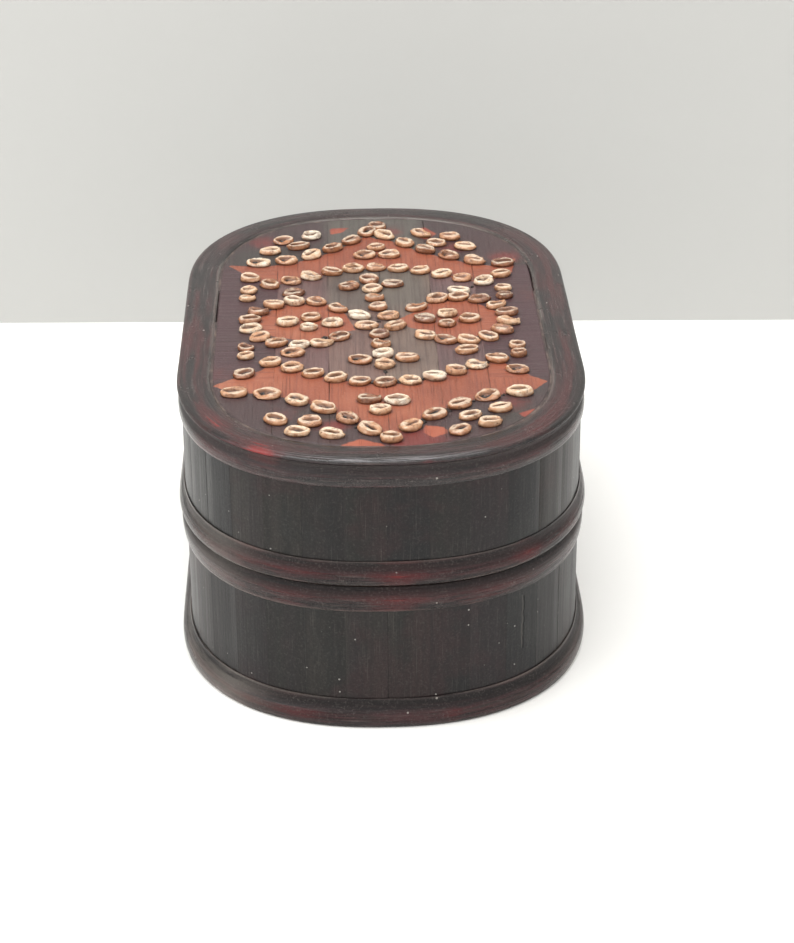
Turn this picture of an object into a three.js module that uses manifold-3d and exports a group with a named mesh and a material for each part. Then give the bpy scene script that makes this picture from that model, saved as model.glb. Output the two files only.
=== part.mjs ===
// Oval lidded box with walls of dark staves, lacquered wooden rims and cut sea shells set on its lid.
// Millimetres, +Z up, +Y towards the far end, origin on the floor under the middle of the box.
import * as THREE from 'three';
import { mergeVertices } from 'three/addons/utils/BufferGeometryUtils.js';
import Module from 'manifold-3d';

const wasm = await Module();
wasm.setup();

// Plan of the box over its top rim: straight sides between two full, rounded ends
const boxWidth = 130;
const boxLength = 210;
const endDepth = 67.7;
const endFullness = 2.31;

// Heights of the bands from the floor up
const footHeight = 9;
const baseHeight = 49;
const baseRimHeight = 8.6;
const seamGap = 0.4;
const lidHeight = 42.6;
const lidRimHeight = 8.2;
const topRimHeight = 9.2;

// Walls of upright staves, each a flat facet with a narrow groove at its joint
const staveCount = 44;
const wallThickness = 4;
const jointWidth = 0.9;
const jointDepth = 0.4;

// How far each rim stands out from the walls
const topRimProud = 1.2;
const lidRimProud = 2.1;
const baseRimProud = 1.5;
const footProud = 3.2;

// Outer faces of the rims from the bottom up: [share of how far the rim stands out, share of its
// height]. The foot and the lid's lower rim swell low down and sweep in to the wall above, and the
// base's upper rim swells at the seam and ends below in a small step.
const footMoulding = [[0.85, 0], [1, 0.3], [0.88, 0.6], [0.5, 0.82], [0.2, 1]];
const lidMoulding = [[0.7, 0], [1, 0.26], [0.88, 0.6], [0.5, 0.84], [0.28, 1]];
const baseMoulding = [[0.5, 0], [0.85, 0.3], [1, 0.65], [0.9, 0.88], [0.6, 1]];

// Top rim, floor board and lid board
const topRimWidth = 11;
const topRimThickness = 5;
const topRimRounding = 3;
const edgeRounding = 1.2;
const floorThickness = 5;
const boardThickness = 7;
const boardDrop = 0.5;

// Locating lip that stands up inside the lid
const lipThickness = 1.8;
const lipHeight = 6;
const lipClearance = 0.4;

// Space left between pieces that touch
const fit = 0.3;

// Cut shells: a low oval dome with the slot of the shell's mouth along it, long or nearly round
const longShellLength = 7.8;
const longShellWidth = 5.9;
const roundShellLength = 6.8;
const roundShellWidth = 6;
const shellHeight = 2.2;
const smallShell = 0.85;
const shellGap = 0.2;
const shellSink = 0.4;
const slotDepth = 0.4;
const slotLength = 0.4;
const looseSides = 8;
const setSides = 6;

// Levels and offsets that follow from the sizes above
const lidBottom = baseHeight + seamGap;
const lidTop = lidBottom + lidHeight;
const boardTop = lidTop - boardDrop;
const rimLedge = lidTop - topRimThickness;
const boardHalfWidth = boxWidth / 2 - topRimWidth - fit;
const boardHalfLength = boxLength / 2 - topRimWidth - fit;
const wallInset = topRimProud;
const innerInset = wallInset + wallThickness;
const pitch = longShellLength + shellGap;
const longShell = { length: longShellLength, width: longShellWidth, scale: 1 };
const roundShell = { length: roundShellLength, width: roundShellWidth, scale: 1 };
const smallRoundShell = { ...roundShell, scale: smallShell };

const finishes = {
  rim: new THREE.MeshStandardMaterial({ color: 0x2b1f1c, roughness: 0.35, metalness: 0 }),
  stave: new THREE.MeshStandardMaterial({ color: 0x34302e, roughness: 0.45, metalness: 0 }),
  board: new THREE.MeshStandardMaterial({ color: 0x6b4a44, roughness: 0.5, metalness: 0 }),
  floor: new THREE.MeshStandardMaterial({ color: 0x5a4434, roughness: 0.7, metalness: 0 }),
  shell: new THREE.MeshStandardMaterial({ color: 0xd9b58b, roughness: 0.35, metalness: 0 }),
};

// Half turn around one end of the plan; side is 1 at the far end and -1 at the near one
class RoundEnd extends THREE.Curve {
  constructor(side) {
    super();
    this.side = side;
    this.arcLengthDivisions = 2000;
  }

  getPoint(t, target = new THREE.Vector2()) {
    const across = Math.cos(Math.PI * t);
    const along = Math.sin(Math.PI * t);
    const power = 2 / endFullness;
    const x = (boxWidth / 2) * Math.sign(across) * Math.abs(across) ** power;
    const y = boxLength / 2 - endDepth + endDepth * Math.abs(along) ** power;
    return target.set(this.side * x, this.side * y);
  }
}

// Points of the plan at the stave joints, counter-clockwise from the middle of the right side
function planPoints() {
  const half = boxWidth / 2;
  const straight = boxLength / 2 - endDepth;
  const path = new THREE.CurvePath();
  path.add(new THREE.LineCurve(new THREE.Vector2(half, 0), new THREE.Vector2(half, straight)));
  path.add(new RoundEnd(1));
  path.add(new THREE.LineCurve(new THREE.Vector2(-half, straight), new THREE.Vector2(-half, -straight)));
  path.add(new RoundEnd(-1));
  path.add(new THREE.LineCurve(new THREE.Vector2(half, -straight), new THREE.Vector2(half, 0)));
  return path.getSpacedPoints(staveCount).slice(0, staveCount);
}

// Outward direction of the plan at a point on it
function outward(point) {
  const straight = boxLength / 2 - endDepth;
  const rise = Math.max(0, Math.abs(point.y) - straight);
  const across = (Math.abs(point.x) / (boxWidth / 2)) ** (endFullness - 1) / (boxWidth / 2);
  const along = (rise / endDepth) ** (endFullness - 1) / endDepth;
  return new THREE.Vector2(Math.sign(point.x) * across, Math.sign(point.y) * along).normalize();
}

const stations = planPoints().map((point) => ({ point, normal: outward(point) }));

function outline(inset) {
  return stations.map(({ point, normal }) => point.clone().addScaledVector(normal, -inset));
}

// Wall outline with a narrow groove where two staves meet
function stavedOutline(inset) {
  const corners = outline(inset);
  const grooveFloor = outline(inset + jointDepth);
  return corners.flatMap((corner, i) => {
    const before = corners[(i + staveCount - 1) % staveCount];
    const after = corners[(i + 1) % staveCount];
    const toBefore = before.clone().sub(corner).setLength(jointWidth / 2);
    const toAfter = after.clone().sub(corner).setLength(jointWidth / 2);
    return [corner.clone().add(toBefore), grooveFloor[i], corner.clone().add(toAfter)];
  });
}

// Upright slab or tube between two heights
function upright(outer, inner, bottom, top) {
  const shape = new THREE.Shape(outer);
  if (inner) {
    shape.holes.push(new THREE.Path(inner));
  }
  const geometry = new THREE.ExtrudeGeometry(shape, { depth: top - bottom, bevelEnabled: false });
  return geometry.translate(0, 0, bottom);
}

// Closed ring of one section around the plan; the section is a list of [inset, height],
// counter-clockwise with the outside of the box on its right
function ring(section) {
  const count = section.length;
  const positions = [];
  const indices = [];
  stations.forEach(({ point, normal }, i) => {
    const next = (i + 1) % stations.length;
    section.forEach(([inset, height], j) => {
      positions.push(point.x - normal.x * inset, point.y - normal.y * inset, height);
      const turn = (j + 1) % count;
      const corner = i * count + j;
      const above = i * count + turn;
      const beyond = next * count + turn;
      const beside = next * count + j;
      indices.push(corner, beyond, above, corner, beside, beyond);
    });
  });
  const geometry = new THREE.BufferGeometry();
  geometry.setAttribute('position', new THREE.Float32BufferAttribute(positions, 3));
  geometry.setIndex(indices);
  return geometry;
}

// Rim strip outside a wall, with a moulded outer face
function rimStrip(proud, moulding, bottom, top) {
  const inner = wallInset - fit;
  const face = moulding.map(([out, up]) => [wallInset - proud * out, bottom + (top - bottom) * up]);
  return ring([[inner, bottom], ...face, [inner, top]]);
}

// Top rim: a flat band over the wall's edge, rounded over and turned down outside the wall
function topRim() {
  const bottom = lidTop - topRimHeight;
  const skirt = topRimProud - fit;
  const arc = [0, 1, 2, 3].map((step) => {
    const angle = (step / 3) * (Math.PI / 2);
    const out = topRimRounding * (1 - Math.cos(angle));
    return [out, lidTop - topRimRounding * (1 - Math.sin(angle))];
  });
  return ring([
    [skirt, bottom],
    [edgeRounding, bottom],
    [0.3 * edgeRounding, bottom + edgeRounding],
    ...arc,
    [topRimWidth - 0.8, lidTop],
    [topRimWidth, lidTop - 0.6],
    [topRimWidth, rimLedge],
    [skirt, rimLedge],
  ]);
}

function solidOf(geometry) {
  const bare = geometry.clone();
  bare.deleteAttribute('normal');
  bare.deleteAttribute('uv');
  const merged = mergeVertices(bare, 1e-4);
  return new wasm.Manifold(new wasm.Mesh({
    numProp: 3,
    vertProperties: new Float32Array(merged.attributes.position.array),
    triVerts: new Uint32Array(merged.index.array),
  }));
}

function geometryOf(solid) {
  const mesh = solid.getMesh();
  const geometry = new THREE.BufferGeometry();
  geometry.setAttribute('position', new THREE.BufferAttribute(mesh.vertProperties, 3));
  geometry.setIndex(new THREE.BufferAttribute(mesh.triVerts, 1));
  return geometry;
}

// Base wall of staves, with the thin lip that stands up inside the lid
function baseWall() {
  const wall = solidOf(upright(stavedOutline(wallInset), outline(innerInset), 0, baseHeight));
  const lip = solidOf(upright(
    outline(innerInset - lipThickness), outline(innerInset), floorThickness, baseHeight + lipHeight,
  ));
  return geometryOf(wall.add(lip));
}

// Lid wall of staves, cut back inside to clear the lip
function lidWall() {
  const top = rimLedge - fit;
  const wall = solidOf(upright(stavedOutline(wallInset), outline(innerInset), lidBottom, top));
  const recess = solidOf(upright(
    outline(innerInset - lipThickness - lipClearance), null, 0, baseHeight + lipHeight + lipClearance,
  ));
  return geometryOf(wall.subtract(recess));
}

// One cut shell standing on its base, its slot along X. Each level is a share of the oval's size
// and a height; the last one is the lip round the slot.
function shell({ length, width, scale }, sides, levels) {
  const spread = scale / Math.cos(Math.PI / sides) / 2;
  const positions = [];
  const indices = [];
  for (const [share, height] of levels) {
    for (let i = 0; i < sides; i += 1) {
      const angle = ((i + 0.5) / sides) * 2 * Math.PI;
      const x = length * spread * share * Math.cos(angle);
      const y = width * spread * share * Math.sin(angle);
      positions.push(x, y, height * scale);
    }
  }
  const slotFloor = (1 - slotDepth) * shellHeight * scale;
  const slotHalf = (slotLength * length * scale) / 2;
  positions.push(slotHalf, 0, slotFloor, -slotHalf, 0, slotFloor);
  const lip = (levels.length - 1) * sides;
  const slotEnd = (i) => lip + sides + (Math.cos(((i + 0.5) / sides) * 2 * Math.PI) > 0 ? 0 : 1);
  for (let i = 0; i < sides; i += 1) {
    const next = (i + 1) % sides;
    for (let level = 0; level < lip; level += sides) {
      const above = level + sides;
      indices.push(level + i, level + next, above + next, level + i, above + next, above + i);
    }
    indices.push(lip + i, lip + next, slotEnd(i));
    if (slotEnd(i) !== slotEnd(next)) {
      indices.push(lip + next, slotEnd(next), slotEnd(i));
    }
    if (i > 0 && i < sides - 1) {
      indices.push(0, next, i);
    }
  }
  const geometry = new THREE.BufferGeometry();
  geometry.setAttribute('position', new THREE.Float32BufferAttribute(positions, 3));
  geometry.setIndex(indices);
  return geometry;
}

// Places on the lid board. Motifs and chains are placed by shares of the board's half width and
// half length, and the shells inside a small motif by their own length, so that they stay side by
// side. The pattern is laid by hand, so its quarters mirror each other only roughly.
const across = (share) => share * boardHalfWidth;
const along = (share) => share * boardHalfLength;

class Track extends THREE.Curve {
  constructor(place) {
    super();
    this.place = place;
    this.arcLengthDivisions = 400;
  }

  getPoint(t, target = new THREE.Vector2()) {
    return target.set(...this.place(t));
  }
}

// Shells at even steps along a curve, each with its slot along it
function strung(curve, count) {
  return Array.from({ length: count }, (_, i) => {
    const point = curve.getPointAt(i / (count - 1));
    const direction = curve.getTangentAt(i / (count - 1));
    return { x: point.x, y: point.y, turn: direction.angle(), kind: longShell };
  });
}

// Outer chains: each sweeps from the tip of a wing down to the side of the board
const outerChains = [
  { from: [0.076, 0.806], to: [0.833, 0.508], sweep: 1.65, count: 6 },
  { from: [-0.04, 0.845], to: [-0.756, 0.546], sweep: 1.94, count: 6 },
  { from: [0.154, -0.866], to: [0.798, -0.624], sweep: 1.73, count: 5 },
  { from: [-0.079, -0.888], to: [-0.86, -0.59], sweep: 1.96, count: 6 },
];

function outerChain({ from, to, sweep, count }) {
  return strung(new Track((t) => [
    across(from[0] + (to[0] - from[0]) * t),
    along(to[1] + (from[1] - to[1]) * (1 - t) ** sweep),
  ]), count);
}

// Inner chains: each waves across the board, with one shell more beyond each trough
const innerChains = [
  { end: 1, middle: 0.005, peak: 0.483, trough: 0.333, half: 0.686, bend: 1.23, beyond: 0.4 },
  { end: -1, middle: 0.022, peak: 0.532, trough: 0.355, half: 0.677, bend: 1.08, beyond: 0.445 },
];

function innerChain({ end, middle, peak, trough, half, bend, beyond }) {
  const wave = new Track((t) => [
    across(middle + half * (2 * t - 1)),
    end * along(trough + (peak - trough) * Math.abs(Math.cos(Math.PI * (t - 0.5))) ** bend),
  ]);
  const ends = [-1, 1].map((hand) => ({ x: hand * across(0.81), y: end * along(beyond) }));
  return [...strung(wave, 11), ...ends].map(({ x, y }) => ({ x, y, turn: 0, kind: roundShell }));
}

// Lozenges of four shells near the rim, the long way along the rim; each shell leans half as much
const lozenges = [
  { at: [-0.55, 0.739], slope: 44 },
  { at: [0.464, 0.751], slope: -41 },
  { at: [-0.455, -0.862], slope: -31 },
  { at: [0.548, -0.826], slope: 49 },
];

function lozenge({ at, slope }) {
  const turn = THREE.MathUtils.degToRad(slope);
  return [[-1.25, 0], [1.25, 0], [0, -0.48], [0, 0.48]].map(([lengthwise, sideways]) => {
    const step = new THREE.Vector2(lengthwise, sideways).multiplyScalar(pitch);
    step.rotateAround(new THREE.Vector2(), turn);
    return { x: across(at[0]) + step.x, y: along(at[1]) + step.y, turn: turn / 2, kind: longShell };
  });
}

// Ring of shells round each side of the board, open towards the middle. The shells lie across the
// board and lean most where the ring turns.
const ringLean = 28;
const sideRings = [
  { hand: -1, centre: [0.48, -0.018], from: 1.88, to: -2.42 },
  { hand: 1, centre: [0.497, -0.005], from: 1.95, to: -2.3 },
];

function sideRing({ hand, centre, from, to }) {
  const round = new Track((t) => {
    const angle = from + (to - from) * t;
    const x = across(centre[0] + 0.317 * Math.cos(angle));
    return [hand * x, along(centre[1] + 0.195 * Math.sin(angle))];
  });
  const lean = hand * THREE.MathUtils.degToRad(ringLean);
  const shells = strung(round, 11).map(({ x, y }, i) => {
    const angle = from + ((to - from) * i) / 10;
    return { x, y, turn: lean * Math.sin(angle), kind: longShell };
  });
  return [
    ...shells,
    { x: hand * across(0.245), y: along(0.103), turn: lean, kind: longShell },
    { x: hand * across(0.527), y: along(0.252), turn: -lean / 2, kind: longShell },
    { x: hand * across(0.527), y: along(-0.278), turn: lean / 2, kind: longShell },
  ];
}

// Shells set in the lid board
const setPlaces = [
  { x: across(0.03), y: along(0.903), turn: 0, kind: roundShell },
  { x: across(0.035), y: along(-0.953), turn: 0, kind: roundShell },
  ...outerChains.flatMap(outerChain),
  ...innerChains.flatMap(innerChain),
  ...lozenges.flatMap(lozenge),
  ...sideRings.flatMap(sideRing),
];

// Small motifs, whose shells are pieces of their own. A motif has its place on the board, a tilt in
// degrees and its shells as [name, steps across, steps along, kind].
const columnShells = (end) => [
  ['1', 0, 0, roundShell],
  ['2', 0, end, roundShell],
  ['3', 0, 2 * end, roundShell],
  ['tip', 0, 3 * end, roundShell],
  ['left', -0.95, 2.44 * end, longShell],
  ['right', 0.95, 2.44 * end, longShell],
];
const trefoilShells = (end) => [
  ['left', -0.54, 0, longShell],
  ['right', 0.54, 0, longShell],
  ['tip', 0, 0.92 * end, roundShell],
];
const pairShells = [
  ['1', 0, -0.41, smallRoundShell],
  ['2', 0, 0.41, smallRoundShell],
];
const flowerShells = [
  ['left', -0.93, 0, longShell],
  ['right', 0.93, 0, longShell],
  ['far', 0, 0.54, roundShell],
  ['near', 0, -0.48, smallRoundShell],
];
const centreShells = [
  ['far_left', -0.77, 0.51, longShell],
  ['far_right', 0.43, 0.51, longShell],
  ['near_left', -0.43, -0.51, longShell],
  ['near_right', 0.77, -0.51, longShell],
];
const motifs = [
  { name: 'shell_column_far', at: [0.004, 0.108], tilt: 6, shells: columnShells(1) },
  { name: 'shell_column_near', at: [0.004, -0.133], tilt: 2.5, shells: columnShells(-1) },
  { name: 'shell_trefoil_far', at: [0.018, 0.609], tilt: 2, shells: trefoilShells(1) },
  { name: 'shell_trefoil_near', at: [0.005, -0.667], tilt: -9, shells: trefoilShells(-1) },
  { name: 'shell_pair_far_left', at: [-0.815, 0.247], tilt: 0, shells: pairShells },
  { name: 'shell_pair_far_right', at: [0.81, 0.232], tilt: 0, shells: pairShells },
  { name: 'shell_pair_near_left', at: [-0.807, -0.263], tilt: 0, shells: pairShells },
  { name: 'shell_pair_near_right', at: [0.832, -0.281], tilt: 0, shells: pairShells },
  { name: 'shell_flower_left', at: [-0.422, -0.019], tilt: -5, shells: flowerShells },
  { name: 'shell_flower_right', at: [0.43, -0.006], tilt: -3, shells: flowerShells },
  { name: 'shell_centre', at: [-0.003, -0.014], tilt: -4, shells: centreShells },
];
const loosePlaces = motifs.flatMap(({ name, at, tilt, shells }) => (
  shells.map(([label, stepAcross, stepAlong, kind]) => {
    const lean = THREE.MathUtils.degToRad(tilt);
    const step = new THREE.Vector2(stepAcross, stepAlong).multiplyScalar(pitch);
    step.rotateAround(new THREE.Vector2(), lean);
    return {
      name: `${name}_${label}`,
      x: across(at[0]) + step.x,
      y: along(at[1]) + step.y,
      turn: lean,
      kind,
    };
  })
));

// Lid board, rebated to sit under the top rim, with the long runs of shells set in it
function lidBoard() {
  const under = boardTop - boardThickness;
  const flange = upright(outline(innerInset + fit), null, under, rimLedge - fit);
  const field = upright(outline(topRimWidth + fit), null, under, boardTop);
  const setLevels = [[1, -shellSink], [0.7, shellHeight]];
  const shells = setPlaces.map(({ x, y, turn, kind }) => (
    solidOf(shell(kind, setSides, setLevels).rotateZ(turn).translate(x, y, boardTop))
  ));
  return geometryOf(wasm.Manifold.union([solidOf(flange), solidOf(field), ...shells]));
}

function piece(name, geometry, material) {
  const mesh = new THREE.Mesh(geometry, material);
  mesh.name = name;
  return mesh;
}

const baseRim = rimStrip(baseRimProud, baseMoulding, baseHeight - baseRimHeight, baseHeight);
const lidRim = rimStrip(lidRimProud, lidMoulding, lidBottom, lidBottom + lidRimHeight);

const base = new THREE.Group();
base.add(
  piece('base_floor', upright(outline(innerInset + fit), null, 0, floorThickness), finishes.floor),
  piece('base_wall', baseWall(), finishes.stave),
  piece('base_foot_rim', rimStrip(footProud, footMoulding, 0, footHeight), finishes.rim),
  piece('base_top_rim', baseRim, finishes.rim),
);

const lid = new THREE.Group();
lid.add(
  piece('lid_wall', lidWall(), finishes.stave),
  piece('lid_bottom_rim', lidRim, finishes.rim),
  piece('lid_top_rim', topRim(), finishes.rim),
  piece('lid_board', lidBoard(), finishes.board),
);
const looseLevels = [[1, 0], [0.9, 0.6 * shellHeight], [0.6, shellHeight]];
for (const { name, x, y, turn, kind } of loosePlaces) {
  const mesh = piece(name, shell(kind, looseSides, looseLevels), finishes.shell);
  mesh.position.set(x, y, boardTop + fit);
  mesh.rotation.z = turn;
  lid.add(mesh);
}

const box = new THREE.Group();
box.add(base, lid);

export default box;
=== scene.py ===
# %% [markdown]
# An oval lidded box with walls of dark staves, lacquered rims and a lid set with cut sea shells.
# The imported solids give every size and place. This lesson models the finer surface round them:
# bent rims with soft mouldings, staves with open joints, a stained lid board, and 133 shells.

# %% Load the solids
import math

import bmesh
import bpy
import numpy as np
from mathutils import Matrix, Vector, noise


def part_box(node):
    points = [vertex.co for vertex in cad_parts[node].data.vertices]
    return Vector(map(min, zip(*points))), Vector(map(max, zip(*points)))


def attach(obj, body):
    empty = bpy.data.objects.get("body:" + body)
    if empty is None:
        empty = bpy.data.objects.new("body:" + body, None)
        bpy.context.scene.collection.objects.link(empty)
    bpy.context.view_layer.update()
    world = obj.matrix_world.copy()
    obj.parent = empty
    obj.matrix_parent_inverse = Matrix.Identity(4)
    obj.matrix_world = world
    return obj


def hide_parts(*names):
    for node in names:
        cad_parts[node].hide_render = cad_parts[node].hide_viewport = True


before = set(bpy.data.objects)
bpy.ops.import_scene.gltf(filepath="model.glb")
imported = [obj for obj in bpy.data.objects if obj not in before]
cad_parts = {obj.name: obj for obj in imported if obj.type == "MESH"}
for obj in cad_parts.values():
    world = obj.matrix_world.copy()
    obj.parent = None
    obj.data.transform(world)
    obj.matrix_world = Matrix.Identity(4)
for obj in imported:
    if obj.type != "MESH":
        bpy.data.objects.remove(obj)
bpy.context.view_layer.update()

MM = 0.001
# Without a seed, noise vectors start from the clock, and no two runs give the same shells
noise.seed_set(5)


# %% [markdown]
# Every ring of this box follows one plan: two straight sides between two full, rounded ends.
# A circle primitive could only be stretched to an ellipse, so the plan is worked out as a curve
# and sampled at even distances. Each sample keeps its outward direction, so that a rim or a wall
# is the same plan moved in or out.

# %% The plan of the box
END_DEPTH = 67.7 * MM
END_FULLNESS = 2.31
HALF_WIDTH, HALF_LENGTH, LID_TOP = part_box("lid_top_rim")[1]
STRAIGHT = HALF_LENGTH - END_DEPTH


def fine_plan():
    """The plan over the top rim as a dense closed line, from the middle of the right side."""
    turn = np.linspace(0, 2 * np.pi, 24001)
    across, along = np.cos(turn), np.sin(turn)
    power = 2 / END_FULLNESS
    x = HALF_WIDTH * np.sign(across) * np.abs(across) ** power
    y = np.sign(along) * (STRAIGHT + END_DEPTH * np.abs(along) ** power)
    x[-1], y[-1] = x[0], y[0]
    distance = np.r_[0, np.cumsum(np.hypot(np.diff(x), np.diff(y)))]
    return x, y, distance


PLAN_X, PLAN_Y, PLAN_DISTANCE = fine_plan()
GIRTH = float(PLAN_DISTANCE[-1])


def on_plan(distances):
    """Points of the plan at distances along it, and the outward direction at each."""
    x = np.interp(distances, PLAN_DISTANCE, PLAN_X)
    y = np.interp(distances, PLAN_DISTANCE, PLAN_Y)
    rise = np.maximum(0, np.abs(y) - STRAIGHT) / END_DEPTH
    out_x = np.sign(x) * (np.abs(x) / HALF_WIDTH) ** (END_FULLNESS - 1) / HALF_WIDTH
    out_y = np.sign(y) * rise ** (END_FULLNESS - 1) / END_DEPTH
    length = np.hypot(out_x, out_y)
    return np.c_[x, y], np.c_[out_x / length, out_y / length]


def even_stations(count):
    return np.arange(count) * GIRTH / count


print("girth over the top rim", round(GIRTH / MM, 1), "mm")


# %% [markdown]
# The rims and walls are all made the same way. A circle is laid on the plan, extruded once for
# each point of the piece's section, and the last loop is merged with the first, which closes the
# ring. Two measures stay on the mesh for the materials: how far round the box a point lies, and
# how far over the section, so that wood grain can run along a bent rim.

# %% Tools for rings
def start_clean():
    if bpy.context.object and bpy.context.object.mode != "OBJECT":
        bpy.ops.object.mode_set(mode="OBJECT")
    bpy.ops.object.select_all(action="DESELECT")


def loop_in_order(mesh):
    """The selected loop of vertices, in order round the box from the middle of the right side."""
    loop = [v for v in mesh.verts if v.select]
    return sorted(loop, key=lambda v: (math.atan2(v.co.y, v.co.x) + 1e-5) % (2 * math.pi))


def keep_lie(piece, lie):
    """Keeps each face corner's place: how far round the plan and how far over the section. The
    faces that close the ring run on past the full girth, so the grain isn't squeezed back there."""
    corners = len(piece.data.loops)
    vertex = np.empty(corners, dtype=np.int32)
    piece.data.loops.foreach_get("vertex_index", vertex)
    sizes = np.empty(len(piece.data.polygons), dtype=np.int32)
    piece.data.polygons.foreach_get("loop_total", sizes)
    rows = lie[vertex]
    face = np.repeat(np.arange(len(sizes)), sizes)
    furthest = np.zeros(len(sizes))
    np.maximum.at(furthest, face, rows[:, 0])
    rows[:, 0] += GIRTH * (furthest[face] - rows[:, 0] > GIRTH / 2)
    layer = piece.data.attributes.new("lie", "FLOAT_VECTOR", "CORNER")
    layer.data.foreach_set("vector", np.c_[rows, np.zeros(corners)].astype(np.float32).ravel())


def swept_circle(name, count, steps, put, kind="float", kept=None, fill="NOTHING"):
    """A circle of count vertices, extruded until it has a loop for each step. put(i, step) gives the
    place of a vertex and the value that it keeps in a layer of the given kind. The piece is left
    in edit mode."""
    start_clean()
    bpy.ops.mesh.primitive_circle_add(vertices=count, radius=1, fill_type=fill)
    piece = bpy.context.object
    piece.name = name
    bpy.ops.object.mode_set(mode="EDIT")
    bpy.ops.mesh.select_all(action="SELECT")
    if kept:
        getattr(bmesh.from_edit_mesh(piece.data).verts.layers, kind).new(kept)
    for step in range(steps):
        if step:
            bpy.ops.mesh.extrude_region_move()
        mesh = bmesh.from_edit_mesh(piece.data)
        layer = getattr(mesh.verts.layers, kind).get(kept) if kept else None
        for i, vertex in enumerate(loop_in_order(mesh)):
            vertex.co, value = put(i, step)
            if layer:
                vertex[layer] = value
    bmesh.update_edit_mesh(piece.data)
    return piece


def close_mesh(merge=None):
    """Merges doubles, turns the normals outwards and leaves edit mode."""
    bpy.ops.mesh.select_all(action="SELECT")
    if merge:
        bpy.ops.mesh.remove_doubles(threshold=merge)
    bpy.ops.mesh.normals_make_consistent(inside=False)
    bpy.ops.object.mode_set(mode="OBJECT")


def ring(name, section, distances, dent=None):
    """A closed ring round the plan. The section is a list of (inset, height), from the inner
    bottom corner outwards, and dent(step, distance) says how much further in a point sits.
    Gives the piece and the place of each vertex round and over it."""
    points, outward = on_plan(distances)
    closed = [*section, section[0]]
    over = np.r_[0, np.cumsum([math.dist(a, b) for a, b in zip(closed, closed[1:])])]

    def put(i, step):
        inset, height = closed[step]
        extra = dent(step % len(section), distances[i]) if dent else 0
        place = (*(points[i] - outward[i] * (inset + extra)), height)
        return place, (distances[i], over[step], 0)

    piece = swept_circle(name, len(distances), len(closed), put, "float_vector", "place")
    close_mesh(merge=1e-7)
    lie = np.empty(len(piece.data.vertices) * 3, dtype=np.float32)
    piece.data.attributes["place"].data.foreach_get("vector", lie)
    piece.data.attributes.remove(piece.data.attributes["place"])
    lie = lie.reshape(-1, 3)[:, :2].copy()
    keep_lie(piece, lie)
    return piece, lie


def soften(piece, degrees=35):
    start_clean()
    piece.select_set(True)
    bpy.context.view_layer.objects.active = piece
    bpy.ops.object.shade_smooth_by_angle(angle=math.radians(degrees))


def join_all(pieces, name, material):
    """Joins pieces to one, with one material and smooth faces."""
    start_clean()
    for piece in pieces:
        piece.select_set(True)
    whole = pieces[0]
    bpy.context.view_layer.objects.active = whole
    bpy.ops.object.join()
    whole.name = name
    whole.data.name = name
    whole.data.materials.clear()
    whole.data.materials.append(material)
    bpy.ops.object.shade_smooth()
    return whole


def attribute(piece, name, values):
    """Keeps one number for each vertex under a name that materials can read."""
    layer = piece.data.attributes.new(name, "FLOAT", "POINT")
    layer.data.foreach_set("value", np.asarray(values, dtype=np.float32))


def places(piece):
    """The piece's vertices as rows of x, y and z."""
    rows = np.empty(len(piece.data.vertices) * 3, dtype=np.float32)
    piece.data.vertices.foreach_get("co", rows)
    return rows.reshape(-1, 3)


def wander(distance, height, size, seed):
    """Slow unevenness of hand work, between about -1 and 1."""
    angle = 2 * math.pi * distance / GIRTH
    radius = GIRTH / (2 * math.pi) / size
    spot = Vector((radius * math.cos(angle), radius * math.sin(angle), height / size + seed * 7.3))
    return noise.noise(spot)


# %% [markdown]
# Shared effects are shader node groups, each built once. A group gives only masks and values, and
# every material mixes its own colours with them. A small writer keeps the node code readable: it
# adds a node, sets its values and links what is passed in as sockets.

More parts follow.
